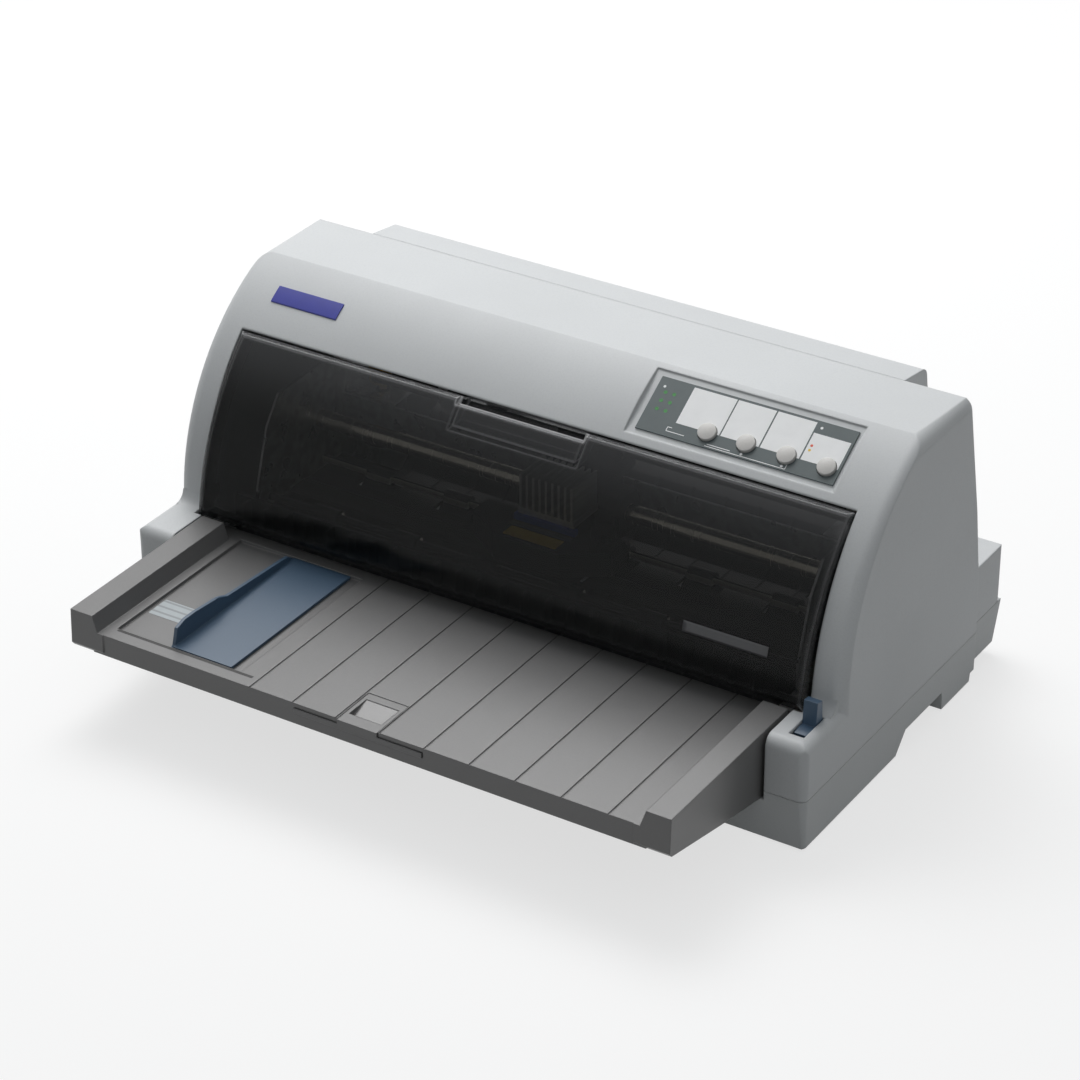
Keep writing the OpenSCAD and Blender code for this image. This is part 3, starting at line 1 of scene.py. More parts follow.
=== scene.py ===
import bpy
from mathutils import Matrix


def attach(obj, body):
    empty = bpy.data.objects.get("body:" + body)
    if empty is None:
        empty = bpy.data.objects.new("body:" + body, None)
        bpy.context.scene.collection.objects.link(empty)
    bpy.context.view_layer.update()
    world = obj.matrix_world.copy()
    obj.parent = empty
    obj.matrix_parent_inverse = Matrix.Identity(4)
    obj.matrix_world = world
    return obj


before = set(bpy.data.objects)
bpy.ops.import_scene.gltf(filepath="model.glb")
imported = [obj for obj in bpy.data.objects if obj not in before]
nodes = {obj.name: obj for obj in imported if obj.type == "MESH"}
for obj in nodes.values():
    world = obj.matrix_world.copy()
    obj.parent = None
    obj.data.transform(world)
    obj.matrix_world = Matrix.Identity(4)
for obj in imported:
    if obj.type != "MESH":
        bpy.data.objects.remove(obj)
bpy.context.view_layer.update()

import math

import bmesh
import bpy
from mathutils import Quaternion, Vector

# ---------- Studio ----------
# The camera looks down over the printer's right front corner through a long lens. The printer
# stands on pale paper under one large soft box, brightest in its middle, in a dim pale room.
origin_depth = 82.0


def at(x, y, z):
    """A point in drawing millimetres, its depth counted from the case front."""
    return Vector((x, y - origin_depth, z)) / 1000.0


azimuth, elevation, roll = (math.radians(angle) for angle in (32.286, 30.421, -0.14))
camera_distance = 2.21142
towards = Vector((math.sin(azimuth) * math.cos(elevation), -math.cos(azimuth) * math.cos(elevation),
                  math.sin(elevation)))
camera = bpy.data.objects.new("camera", bpy.data.cameras.new("camera"))
bpy.context.scene.collection.objects.link(camera)
camera.location = at(0, 100, 80) + towards * camera_distance
camera.rotation_mode = "QUATERNION"
camera.rotation_quaternion = (-towards).to_track_quat("-Z", "Y") @ Quaternion((0, 0, 1), roll)
camera.data.lens = 119.157
camera.data.sensor_width = 36.0
camera.data.shift_x = -0.00277
camera.data.shift_y = 0.00829
bpy.context.scene.camera = camera
bpy.context.scene.view_settings.view_transform = "Standard"


def new_piece(name, build):
    """An object at the origin, its mesh made by build(bm)."""
    bm = bmesh.new()
    build(bm)
    bmesh.ops.recalc_face_normals(bm, faces=bm.faces)
    mesh = bpy.data.meshes.new(name)
    bm.to_mesh(mesh)
    bm.free()
    piece = bpy.data.objects.new(name, mesh)
    bpy.context.scene.collection.objects.link(piece)
    return piece


def rays_that_show(tree):
    """A socket that is 1 on rays that show the studio itself: to the eye, in gloss, through glass."""
    rays = tree.nodes.new("ShaderNodeLightPath")
    shown = rays.outputs["Is Camera Ray"]
    for kind in ("Is Transmission Ray", "Is Glossy Ray"):
        either = tree.nodes.new("ShaderNodeMath")
        either.operation = "MAXIMUM"
        tree.links.new(shown, either.inputs[0])
        tree.links.new(rays.outputs[kind], either.inputs[1])
        shown = either.outputs[0]
    return shown


# The paper shows white, and keeps the printer's shadow close to it.
floor_reach = 9.0
shadow_strength = 0.32
shadow_near, shadow_far = 0.3, 2.0
floor = new_piece("studio_floor",
                  lambda bm: bmesh.ops.create_grid(bm, x_segments=1, y_segments=1, size=floor_reach))
paper = bpy.data.materials.new("studio_paper")
paper.use_nodes = True
tree = paper.node_tree
tree.nodes.clear()
white = tree.nodes.new("ShaderNodeEmission")
shade = tree.nodes.new("ShaderNodeBsdfDiffuse")
shade.inputs["Color"].default_value = (0.96, 0.96, 0.96, 1.0)
ground = tree.nodes.new("ShaderNodeTexCoord")
away = tree.nodes.new("ShaderNodeVectorMath")
away.operation = "LENGTH"
thinning = tree.nodes.new("ShaderNodeMapRange")
thinning.interpolation_type = "SMOOTHSTEP"
thinning.inputs["From Min"].default_value = shadow_near
thinning.inputs["From Max"].default_value = shadow_far
thinning.inputs["To Min"].default_value = shadow_strength
thinning.inputs["To Max"].default_value = 0.0
pale = tree.nodes.new("ShaderNodeMixShader")
dull = tree.nodes.new("ShaderNodeBsdfDiffuse")
dull.inputs["Color"].default_value = (0.26, 0.26, 0.26, 1.0)
mix = tree.nodes.new("ShaderNodeMixShader")
out = tree.nodes.new("ShaderNodeOutputMaterial")
tree.links.new(ground.outputs["Object"], away.inputs[0])
tree.links.new(away.outputs["Value"], thinning.inputs["Value"])
tree.links.new(thinning.outputs["Result"], pale.inputs[0])
tree.links.new(white.outputs[0], pale.inputs[1])
tree.links.new(shade.outputs[0], pale.inputs[2])
tree.links.new(rays_that_show(tree), mix.inputs[0])
tree.links.new(dull.outputs[0], mix.inputs[1])
tree.links.new(pale.outputs[0], mix.inputs[2])
tree.links.new(mix.outputs[0], out.inputs[0])
floor.data.materials.append(paper)

world = bpy.data.worlds.new("studio")
bpy.context.scene.world = world
world.use_nodes = True
tree = world.node_tree
tree.nodes.clear()
backdrop = tree.nodes.new("ShaderNodeBackground")
backdrop.inputs["Color"].default_value = (1.0, 1.0, 1.0, 1.0)
ambient = tree.nodes.new("ShaderNodeBackground")
ambient.inputs["Color"].default_value = (0.95, 0.985, 1.0, 1.0)
ambient.inputs["Strength"].default_value = 0.33
mix = tree.nodes.new("ShaderNodeMixShader")
out = tree.nodes.new("ShaderNodeOutputWorld")
tree.links.new(rays_that_show(tree), mix.inputs[0])
tree.links.new(ambient.outputs[0], mix.inputs[1])
tree.links.new(backdrop.outputs[0], mix.inputs[2])
tree.links.new(mix.outputs[0], out.inputs[0])

lamp = bpy.data.lights.new("soft_box", "AREA")
lamp.shape = "RECTANGLE"
lamp.size, lamp.size_y = 2.8, 2.0
lamp.energy = 130.0
lamp.use_nodes = True
tree = lamp.node_tree
glow = tree.nodes["Emission"]
spot = tree.nodes.new("ShaderNodeNewGeometry")
centred = tree.nodes.new("ShaderNodeVectorMath")
centred.operation = "SUBTRACT"
centred.inputs[1].default_value = (0.5, 0.5, 0.0)
reach = tree.nodes.new("ShaderNodeVectorMath")
reach.operation = "LENGTH"
fade = tree.nodes.new("ShaderNodeMapRange")
fade.interpolation_type = "SMOOTHSTEP"
fade.inputs["From Min"].default_value = 0.5
fade.inputs["From Max"].default_value = 0.05
tree.links.new(spot.outputs["Parametric"], centred.inputs[0])
tree.links.new(centred.outputs[0], reach.inputs[0])
tree.links.new(reach.outputs["Value"], fade.inputs["Value"])
tree.links.new(fade.outputs["Result"], glow.inputs["Strength"])
soft_box = bpy.data.objects.new("soft_box", lamp)
bpy.context.scene.collection.objects.link(soft_box)
soft_box.location = (-0.75, 0.85, 1.75)
soft_box.rotation_mode = "QUATERNION"
soft_box.rotation_quaternion = (Vector((0, 0, 0.1)) - soft_box.location).to_track_quat("-Z", "Y")

# ---------- Case ----------
# Three injection mouldings in pale grey ABS with a fine spark-eroded grain: the upper case,
# the lower case that stands on the feet, and the rear cover that hinges on it.


def finish(name, colour, roughness, sockets=None):
    """A Principled material; what is the same all over is set on the shader's own sockets."""
    material = bpy.data.materials.new(name)
    material.use_nodes = True
    shader = material.node_tree.nodes["Principled BSDF"]
    shader.inputs["Base Color"].default_value = (*colour, 1.0)
    shader.inputs["Roughness"].default_value = roughness
    for socket, value in (sockets or {}).items():
        shader.inputs[socket].default_value = value
    material.diffuse_color = (*colour, 1.0)
    return material


def noise_mask(material, size, low, high, stretch=(1, 1, 1), detail=3.0):
    """A socket that runs from 0 to 1 in cloudy patches about size metres across."""
    tree = material.node_tree
    place = tree.nodes.new("ShaderNodeTexCoord")
    fit = tree.nodes.new("ShaderNodeMapping")
    fit.inputs["Scale"].default_value = stretch
    noise = tree.nodes.new("ShaderNodeTexNoise")
    noise.inputs["Scale"].default_value = 1.0 / size
    noise.inputs["Detail"].default_value = detail
    span = tree.nodes.new("ShaderNodeMapRange")
    span.inputs["From Min"].default_value = low
    span.inputs["From Max"].default_value = high
    tree.links.new(place.outputs["Object"], fit.inputs["Vector"])
    tree.links.new(fit.outputs["Vector"], noise.inputs["Vector"])
    tree.links.new(noise.outputs["Fac"], span.inputs["Value"])
    return span.outputs["Result"]


def edge_mask(material, radius, low, high):
    """A socket that rises along sharp edges, where the bevelled normal leaves the flat one."""
    tree = material.node_tree
    bevel = tree.nodes.new("ShaderNodeBevel")
    bevel.samples = 4
    bevel.inputs["Radius"].default_value = radius
    flat = tree.nodes.new("ShaderNodeNewGeometry")
    agree = tree.nodes.new("ShaderNodeVectorMath")
    agree.operation = "DOT_PRODUCT"
    span = tree.nodes.new("ShaderNodeMapRange")
    span.inputs["From Min"].default_value = high
    span.inputs["From Max"].default_value = low
    tree.links.new(bevel.outputs["Normal"], agree.inputs[0])
    tree.links.new(flat.outputs["Normal"], agree.inputs[1])
    tree.links.new(agree.outputs["Value"], span.inputs["Value"])
    return span.outputs["Result"]


def overlay(material, mask, colour, strength=1.0):
    """Lays a colour over what the base colour already has, where the mask is high."""
    tree = material.node_tree
    base = tree.nodes["Principled BSDF"].inputs["Base Color"]
    blend = tree.nodes.new("ShaderNodeMix")
    blend.data_type = "RGBA"
    if base.is_linked:
        tree.links.new(base.links[0].from_socket, blend.inputs[6])
    else:
        blend.inputs[6].default_value = base.default_value
    blend.inputs[7].default_value = (*colour, 1.0)
    thin = tree.nodes.new("ShaderNodeMath")
    thin.operation = "MULTIPLY"
    thin.use_clamp = True
    thin.inputs[1].default_value = strength
    tree.links.new(mask, thin.inputs[0])
    tree.links.new(thin.outputs[0], blend.inputs[0])
    tree.links.new(blend.outputs[2], base)


def vary_roughness(material, mask, low, high):
    """Lets the roughness run from low to high with a mask."""
    tree = material.node_tree
    span = tree.nodes.new("ShaderNodeMapRange")
    span.inputs["To Min"].default_value = low
    span.inputs["To Max"].default_value = high
    tree.links.new(mask, span.inputs["Value"])
    tree.links.new(span.outputs["Result"], tree.nodes["Principled BSDF"].inputs["Roughness"])


def relief(material, height, depth, rounding=0.0):
    """Bumps the surface by a height socket, over edges softened by a rounding in metres."""
    tree = material.node_tree
    bump = tree.nodes.new("ShaderNodeBump")
    bump.inputs["Distance"].default_value = depth
    bump.inputs["Strength"].default_value = 1.0
    tree.links.new(height, bump.inputs["Height"])
    if rounding:
        bevel = tree.nodes.new("ShaderNodeBevel")
        bevel.samples = 6
        bevel.inputs["Radius"].default_value = rounding
        tree.links.new(bevel.outputs["Normal"], bump.inputs["Normal"])
    tree.links.new(bump.outputs["Normal"], tree.nodes["Principled BSDF"].inputs["Normal"])


def moulding(name, colour, roughness, grain=0.00045, depth=0.00002, rounding=0.0006):
    """Injection moulded plastic: eroded grain, faint flow clouds, edges a little paler."""
    material = finish(name, colour, roughness)
    clouds = noise_mask(material, 0.09, 0.35, 0.7)
    specks = noise_mask(material, 0.0011, 0.45, 0.7, detail=2.0)
    polish = noise_mask(material, 0.05, 0.1, 0.9, detail=6.0)
    overlay(material, clouds, [c * 0.93 for c in colour], 0.7)
    overlay(material, specks, [c * 0.88 for c in colour], 0.35)
    worn = [min(1.0, c * 1.12 + 0.02) for c in colour]
    overlay(material, edge_mask(material, 0.0008, 0.9, 0.999), worn, 0.4)
    vary_roughness(material, polish, roughness - 0.03, roughness + 0.04)
    relief(material, noise_mask(material, grain, 0.2, 0.8, detail=2.0), depth, rounding)
    return material


def dress(material, *names):
    """Gives CAD nodes their finish."""
    for name in names:
        mesh = nodes[name].data
        if not mesh.materials:
            mesh.materials.append(material)
        for i in range(len(mesh.materials)):
            mesh.materials[i] = material


case_moulding = moulding("case_moulding", (0.585, 0.60, 0.61), 0.48, rounding=0.0018)
base_moulding = moulding("base_moulding", (0.56, 0.575, 0.58), 0.52, rounding=0.0013)
dress(case_moulding, "upper_case", "rear_cover")
dress(base_moulding, "lower_case")

# ---------- Feet and case screws ----------
# Four dull rubber pads pressed into the belly, and four long zinc-plated screws
# that come up through the lower case into the bosses of the upper one.
foot_rubber = finish("foot_rubber", (0.035, 0.035, 0.036), 0.85)
overlay(foot_rubber, noise_mask(foot_rubber, 0.004, 0.5, 0.75), (0.09, 0.088, 0.085), 0.6)
relief(foot_rubber, noise_mask(foot_rubber, 0.0008, 0.3, 0.7), 0.00006, 0.0004)
dress(foot_rubber, "rubber_feet")


def plated(name, colour, spangle=0.006, roughness=0.34):
    """Zinc-plated sheet: cloudy spangle, fine rolling lines, dull edges."""
    material = finish(name, colour, roughness, {"Metallic": 1.0})
    overlay(material, noise_mask(material, spangle, 0.4, 0.62, detail=1.0), [c * 0.78 for c in colour], 0.8)
    overlay(material, edge_mask(material, 0.0004, 0.9, 0.999), [min(1.0, c * 1.25) for c in colour], 0.7)
    vary_roughness(material, noise_mask(material, 0.012, 0.35, 0.65), roughness - 0.08, roughness + 0.14)
    relief(material, noise_mask(material, 0.0006, 0.3, 0.7, stretch=(0.05, 1, 1)), 0.00001, 0.0003)
    return material


zinc_plate = plated("zinc_plate", (0.56, 0.57, 0.58))
dress(zinc_plate, "case_screws", "base_pan", "frame_left", "frame_right", "frame_stays", "rear_rail",
      "ribbon_mask")

# ---------- Chassis screws ----------
# Pan head screws hold the steel side frames to the pan and the stays to the frames.
# One small tree sets a head with a cross recess on each point, turned to its face.


def group(name):
    """An empty geometry tree with its two ends."""
    tree = bpy.data.node_groups.new(name, "GeometryNodeTree")
    tree.interface.new_socket("Geometry", in_out="INPUT", socket_type="NodeSocketGeometry")
    tree.interface.new_socket("Geometry", in_out="OUTPUT", socket_type="NodeSocketGeometry")
    return tree, tree.nodes.new("NodeGroupInput"), tree.nodes.new("NodeGroupOutput")


def size_input(tree, name, value, kind="NodeSocketFloat"):
    """A named input of a tree, with the value it has unless a piece sets its own."""
    socket = tree.interface.new_socket(name, in_out="INPUT", socket_type=kind)
    socket.default_value = value


def finish_tree(tree, result, output, material):
    """Makes the instances real and gives them their material."""
    real = tree.nodes.new("GeometryNodeRealizeInstances")
    coat = tree.nodes.new("GeometryNodeSetMaterial")
    coat.inputs["Material"].default_value = material
    tree.links.new(result, real.inputs[0])
    tree.links.new(real.outputs[0], coat.inputs["Geometry"])
    tree.links.new(coat.outputs[0], output.inputs[0])


def grow(name, points, tree, values, body):
    """Runs a tree on loose points and keeps the plain mesh that comes out."""
    mesh = bpy.data.meshes.new(name)
    mesh.from_pydata([tuple(p) for p in points], [], [])
    piece = bpy.data.objects.new(name, mesh)
    bpy.context.scene.collection.objects.link(piece)
    modifier = piece.modifiers.new("tree", "NODES")
    modifier.node_group = tree
    for socket in tree.interface.items_tree:
        if socket.in_out == "INPUT" and socket.name in values:
            modifier[socket.identifier] = values[socket.name]
    view = piece.evaluated_get(bpy.context.evaluated_depsgraph_get())
    piece.data = bpy.data.meshes.new_from_object(view)
    piece.data.name = name
    piece.modifiers.clear()
    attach(piece, body)


screw_tree, given, output = group("pan_head_screws")
size_input(screw_tree, "Head radius", 0.0027)
head_height = 0.0014
size_input(screw_tree, "Head height", head_height)
size_input(screw_tree, "Turn", (0.0, 0.0, 0.0), "NodeSocketVector")
head = screw_tree.nodes.new("GeometryNodeMeshCylinder")
head.inputs["Vertices"].default_value = 24
head.inputs["Side Segments"].default_value = 1
screw_tree.links.new(given.outputs["Head radius"], head.inputs["Radius"])
screw_tree.links.new(given.outputs["Head height"], head.inputs["Depth"])
dome = screw_tree.nodes.new("GeometryNodeMeshCone")
dome.inputs["Vertices"].default_value = 24
dome.inputs["Depth"].default_value = 0.0005
screw_tree.links.new(given.outputs["Head radius"], dome.inputs["Radius Bottom"])
narrow = screw_tree.nodes.new("ShaderNodeMath")
narrow.operation = "MULTIPLY"
narrow.inputs[1].default_value = 0.72
screw_tree.links.new(given.outputs["Head radius"], narrow.inputs[0])
screw_tree.links.new(narrow.outputs[0], dome.inputs["Radius Top"])
half = screw_tree.nodes.new("ShaderNodeMath")
half.operation = "MULTIPLY"
half.inputs[1].default_value = 0.5
screw_tree.links.new(given.outputs["Head height"], half.inputs[0])
lift = screw_tree.nodes.new("ShaderNodeCombineXYZ")
screw_tree.links.new(half.outputs[0], lift.inputs["Z"])
seat = screw_tree.nodes.new("GeometryNodeTransform")
screw_tree.links.new(dome.outputs["Mesh"], seat.inputs["Geometry"])
screw_tree.links.new(lift.outputs[0], seat.inputs["Translation"])
blank = screw_tree.nodes.new("GeometryNodeMeshBoolean")
blank.operation = "UNION"
screw_tree.links.new(head.outputs["Mesh"], blank.inputs["Mesh 2"])
screw_tree.links.new(seat.outputs[0], blank.inputs["Mesh 2"])
cross = screw_tree.nodes.new("GeometryNodeMeshBoolean")
cross.operation = "DIFFERENCE"
screw_tree.links.new(blank.outputs["Mesh"], cross.inputs["Mesh 1"])
for size in ((0.0032, 0.0006, 0.0016), (0.0006, 0.0032, 0.0016)):
    bar = screw_tree.nodes.new("GeometryNodeMeshCube")
    bar.inputs["Size"].default_value = size
    sunk = screw_tree.nodes.new("GeometryNodeTransform")
    sunk.inputs["Translation"].default_value = (0, 0, head_height)
    screw_tree.links.new(bar.outputs["Mesh"], sunk.inputs["Geometry"])
    screw_tree.links.new(sunk.outputs[0], cross.inputs["Mesh 2"])
spread = screw_tree.nodes.new("GeometryNodeInstanceOnPoints")
screw_tree.links.new(given.outputs["Geometry"], spread.inputs["Points"])
screw_tree.links.new(cross.outputs["Mesh"], spread.inputs["Instance"])
screw_tree.links.new(given.outputs["Turn"], spread.inputs["Rotation"])
finish_tree(screw_tree, spread.outputs[0], output, zinc_plate)

pan_foot_top, tab_top = 21.5, 106.3
board_top, supply_top = 10.2, 15.2
frame_face, foot_x = 197.6, 187
small_head = {"Head radius": 0.0022}
stay_ends = ((195.0, 128), (77.0, 27))
grow("pan_screws", [at(side * foot_x, y, pan_foot_top) for side in (-1, 1) for y in (76, 86, 187, 197)],
     screw_tree, {}, "printer_body")
grow("stay_screws", [at(frame_face, y, z) for y, z in stay_ends], screw_tree,
     {"Turn": (0.0, math.pi / 2, 0.0)}, "printer_body")
grow("stay_screws_left", [at(-frame_face, y, z) for y, z in stay_ends], screw_tree,
     {"Turn": (0.0, -math.pi / 2, 0.0)}, "printer_body")
grow("motor_screws", [at(-176 + dx, 183 + dy, tab_top) for dx, dy in ((-9, 9), (9, -9), (-9, -9), (9, 9))],
     screw_tree, small_head, "printer_body")
grow("board_screws", [at(x, y, board_top) for x in (-150, 60) for y in (22, 102)], screw_tree, {},
     "printer_body")
grow("supply_screws", [at(x, y, supply_top) for x in (-163, -67) for y in (227, 252)], screw_tree,
     small_head, "printer_body")

# ---------- Shafts and rails ----------
# The guide shaft is a ground steel rod with a film of oil. The feed and tractor shafts
# are turned bright steel, so the turning marks run round them.
ground_rod = finish("ground_rod", (0.76, 0.72, 0.62), 0.2, {"Metallic": 1.0})
overlay(ground_rod, noise_mask(ground_rod, 0.02, 0.45, 0.7, stretch=(0.3, 1, 1)), (0.60, 0.55, 0.44), 0.6)
vary_roughness(ground_rod, noise_mask(ground_rod, 0.0012, 0.3, 0.7, stretch=(1, 0.05, 0.05)), 0.14, 0.3)
relief(ground_rod, noise_mask(ground_rod, 0.0005, 0.3, 0.7, stretch=(1, 0.02, 0.02)), 0.000004, 0.0003)
dress(ground_rod, "guide_shaft")
turned_steel = finish("turned_steel", (0.62, 0.62, 0.61), 0.3, {"Metallic": 1.0})
turning = noise_mask(turned_steel, 0.0015, 0.4, 0.7, stretch=(1, 0.03, 0.03))
overlay(turned_steel, turning, (0.45, 0.45, 0.45), 0.6)
relief(turned_steel, noise_mask(turned_steel, 0.0004, 0.3, 0.7, stretch=(1, 0.02, 0.02)), 0.000006, 0.0003)
dress(turned_steel, "front_feed_shaft", "rear_feed_shaft", "tractor_shaft")

# ---------- Electronics ----------
# Green lacquered boards with copper under the lacquer, and the supply behind them.
# The chips and capacitors stand on the board as solids; the chips' lids and legs are added here.
board_lacquer = finish("board_lacquer", (0.03, 0.16, 0.07), 0.3, {"Coat Weight": 0.4})
tree = board_lacquer.node_tree
place = tree.nodes.new("ShaderNodeTexCoord")
tracks = tree.nodes.new("ShaderNodeTexBrick")
tracks.inputs["Scale"].default_value = 160.0
tracks.inputs["Mortar Size"].default_value = 0.05
tracks.inputs["Color1"].default_value = (0, 0, 0, 1)
tracks.inputs["Color2"].default_value = (0.25, 0.25, 0.25, 1)
tracks.inputs["Mortar"].default_value = (1, 1, 1, 1)
tree.links.new(place.outputs["Object"], tracks.inputs["Vector"])
overlay(board_lacquer, tracks.outputs["Color"], (0.08, 0.30, 0.13), 0.8)
overlay(board_lacquer, noise_mask(board_lacquer, 0.004, 0.62, 0.66), (0.50, 0.50, 0.46), 0.9)
relief(board_lacquer, tracks.outputs["Color"], 0.00005, 0.0003)
dress(board_lacquer, "main_board", "power_supply", "panel_board")


def block(bm, low, high, chamfer):
    """A closed box between two drawing points, its edges chamfered."""
    made = bmesh.ops.create_cube(bm, size=1.0)
    a, b = at(*low), at(*high)
    middle, size = (a + b) / 2, b - a
    for v in made["verts"]:
        v.co = Vector((v.co[i] * size[i] for i in range(3))) + middle
    edges = {e for v in made["verts"] for e in v.link_edges}
    bmesh.ops.bevel(bm, geom=list(edges), offset=chamfer / 1000.0, segments=2, affect="EDGES", profile=0.5)


chips = [(-130, 30, 24, 24), (-80, 26, 28, 28), (-30, 32, 18, 12), (10, 30, 20, 14), (-100, 74, 34, 12)]
chip_epoxy = finish("chip_epoxy", (0.03, 0.03, 0.032), 0.55)
overlay(chip_epoxy, noise_mask(chip_epoxy, 0.002, 0.45, 0.7), (0.06, 0.06, 0.062), 0.6)
relief(chip_epoxy, noise_mask(chip_epoxy, 0.0003, 0.3, 0.7), 0.00001, 0.0003)
lid_top, lid_over, lid_chamfer = 12.2, 0.1, 0.4


def chip_lids(bm):
    """A thin lid on each chip."""
    for x, y, w, d in chips:
        low = (x - lid_over, y - lid_over, board_top)
        high = (x + w + lid_over, y + d + lid_over, lid_top)
        block(bm, low, high, lid_chamfer)


lids = new_piece("chip_lids", chip_lids)
lids.data.materials.append(chip_epoxy)
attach(lids, "printer_body")

leg_tree, given, output = group("chip_legs")
size_input(leg_tree, "Leg width", 0.0005)
size_input(leg_tree, "Leg height", 0.0016)
leg = leg_tree.nodes.new("GeometryNodeMeshCube")
girth = leg_tree.nodes.new("ShaderNodeCombineXYZ")
leg_tree.links.new(given.outputs["Leg width"], girth.inputs["X"])
leg_tree.links.new(given.outputs["Leg width"], girth.inputs["Y"])
leg_tree.links.new(given.outputs["Leg height"], girth.inputs["Z"])
leg_tree.links.new(girth.outputs[0], leg.inputs["Size"])
spread = leg_tree.nodes.new("GeometryNodeInstanceOnPoints")
leg_tree.links.new(given.outputs["Geometry"], spread.inputs["Points"])
leg_tree.links.new(leg.outputs["Mesh"], spread.inputs["Instance"])
solder_tin = finish("solder_tin", (0.70, 0.70, 0.68), 0.25, {"Metallic": 1.0})
overlay(solder_tin, noise_mask(solder_tin, 0.001, 0.4, 0.7), (0.5, 0.5, 0.48), 0.6)
finish_tree(leg_tree, spread.outputs[0], output, solder_tin)
leg_pitch, first_leg, leg_height, leg_out = 1.27, 1.2, 10.3, 0.4
legs = [at(x + first_leg + leg_pitch * i, y + row, leg_height) for x, y, w, d in chips
        for i in range(int((w - first_leg) / leg_pitch)) for row in (-leg_out, d + leg_out)]
grow("chip_legs", legs, leg_tree, {}, "printer_body")

# ---------- Mains inlet, ports and switch ----------
# Black glass-filled sockets behind the rear box. The contact rows in the parallel port are tinned brass;
# the inlet's blades, tinned brass on the real part, take the socket's black here.
socket_black = moulding("socket_black", (0.02, 0.02, 0.021), 0.45, rounding=0.0004)
dress(socket_black, "power_inlet", "power_switch")
port_shell = moulding("port_shell", (0.12, 0.125, 0.13), 0.4, rounding=0.0004)
dress(port_shell, "interface_ports")
contact_pitch, contact_gap = 2.16, 1.95
contacts = [at(111.5 + contact_pitch * i, 260.3, 48 + row * contact_gap)
            for i in range(22) for row in (-1, 1)]
grow("port_contacts", contacts, leg_tree, {"Leg width": 0.0009, "Leg height": 0.0006},
     "printer_body")

# ---------- Paper path ----------
# Black ribbed guide plates, the flat platen of hard rubber under the needles, and four rows
# of rollers: rubber tyres below, hard black ones on plain pins above.
guide_black = moulding("guide_black", (0.022, 0.023, 0.025), 0.42)
dress(guide_black, "front_paper_guide", "rear_paper_guide")
ribbed_black = moulding("ribbed_black", (0.05, 0.052, 0.055), 0.4)
dress(ribbed_black, "cover_paper_guide")
platen_rubber = finish("platen_rubber", (0.045, 0.045, 0.046), 0.7)
dust = noise_mask(platen_rubber, 0.01, 0.45, 0.7, stretch=(0.2, 1, 1))
overlay(platen_rubber, dust, (0.08, 0.08, 0.08), 0.7)
relief(platen_rubber, noise_mask(platen_rubber, 0.0005, 0.3, 0.7), 0.00003, 0.0004)
dress(platen_rubber, "platen", "front_feed_rollers", "rear_feed_rollers")
hard_roller = moulding("hard_roller", (0.05, 0.052, 0.055), 0.35, rounding=0.0004)


def pale_pin(material, y, z, radius, colour):
    """Lays a colour where the surface is closer than a radius to an axis along X."""
    tree = material.node_tree
    place = tree.nodes.new("ShaderNodeTexCoord")
    from_axis = tree.nodes.new("ShaderNodeVectorMath")
    from_axis.operation = "SUBTRACT"
    from_axis.inputs[1].default_value = at(0, y, z)
    flat = tree.nodes.new("ShaderNodeVectorMath")
    flat.operation = "MULTIPLY"
    flat.inputs[1].default_value = (0, 1, 1)
    reach = tree.nodes.new("ShaderNodeVectorMath")
    reach.operation = "LENGTH"
    within = tree.nodes.new("ShaderNodeMath")
    within.operation = "LESS_THAN"
    within.inputs[1].default_value = radius
    tree.links.new(place.outputs["Object"], from_axis.inputs[0])
    tree.links.new(from_axis.outputs[0], flat.inputs[0])
    tree.links.new(flat.outputs[0], reach.inputs[0])
    tree.links.new(reach.outputs["Value"], within.inputs[0])
    overlay(material, within.outputs[0], colour)


pin_height, pin_radius = 67.6, 0.0027
for pin_depth in (85.0, 139.0):
    pale_pin(hard_roller, pin_depth, pin_height, pin_radius, (0.62, 0.60, 0.54))
dress(hard_roller, "front_pinch_rollers", "rear_pinch_rollers")

# ---------- Gears and pulleys ----------
# The feed gears are natural acetal, milky and a little waxy; the motor's pinion and the
# belt pulley beside it are turned brass.
acetal = finish("acetal", (0.66, 0.64, 0.57), 0.35, {"Subsurface Weight": 0.15, "Subsurface Scale": 0.002})
overlay(acetal, noise_mask(acetal, 0.006, 0.4, 0.7), (0.58, 0.55, 0.46), 0.5)
overlay(acetal, noise_mask(acetal, 0.0015, 0.62, 0.75), (0.30, 0.27, 0.2), 0.4)
relief(acetal, noise_mask(acetal, 0.0006, 0.3, 0.7), 0.00001, 0.0003)
dress(acetal, "front_feed_gear", "rear_feed_gear", "idler_gear", "idler_pulley")
turned_brass = finish("turned_brass", (0.72, 0.54, 0.22), 0.28, {"Metallic": 1.0})
overlay(turned_brass, noise_mask(turned_brass, 0.003, 0.4, 0.7), (0.52, 0.36, 0.14), 0.6)
relief(turned_brass, noise_mask(turned_brass, 0.0004, 0.3, 0.7, stretch=(0.1, 0.1, 1)), 0.000008, 0.0002)
dress(turned_brass, "motor_pinion", "motor_pulley")

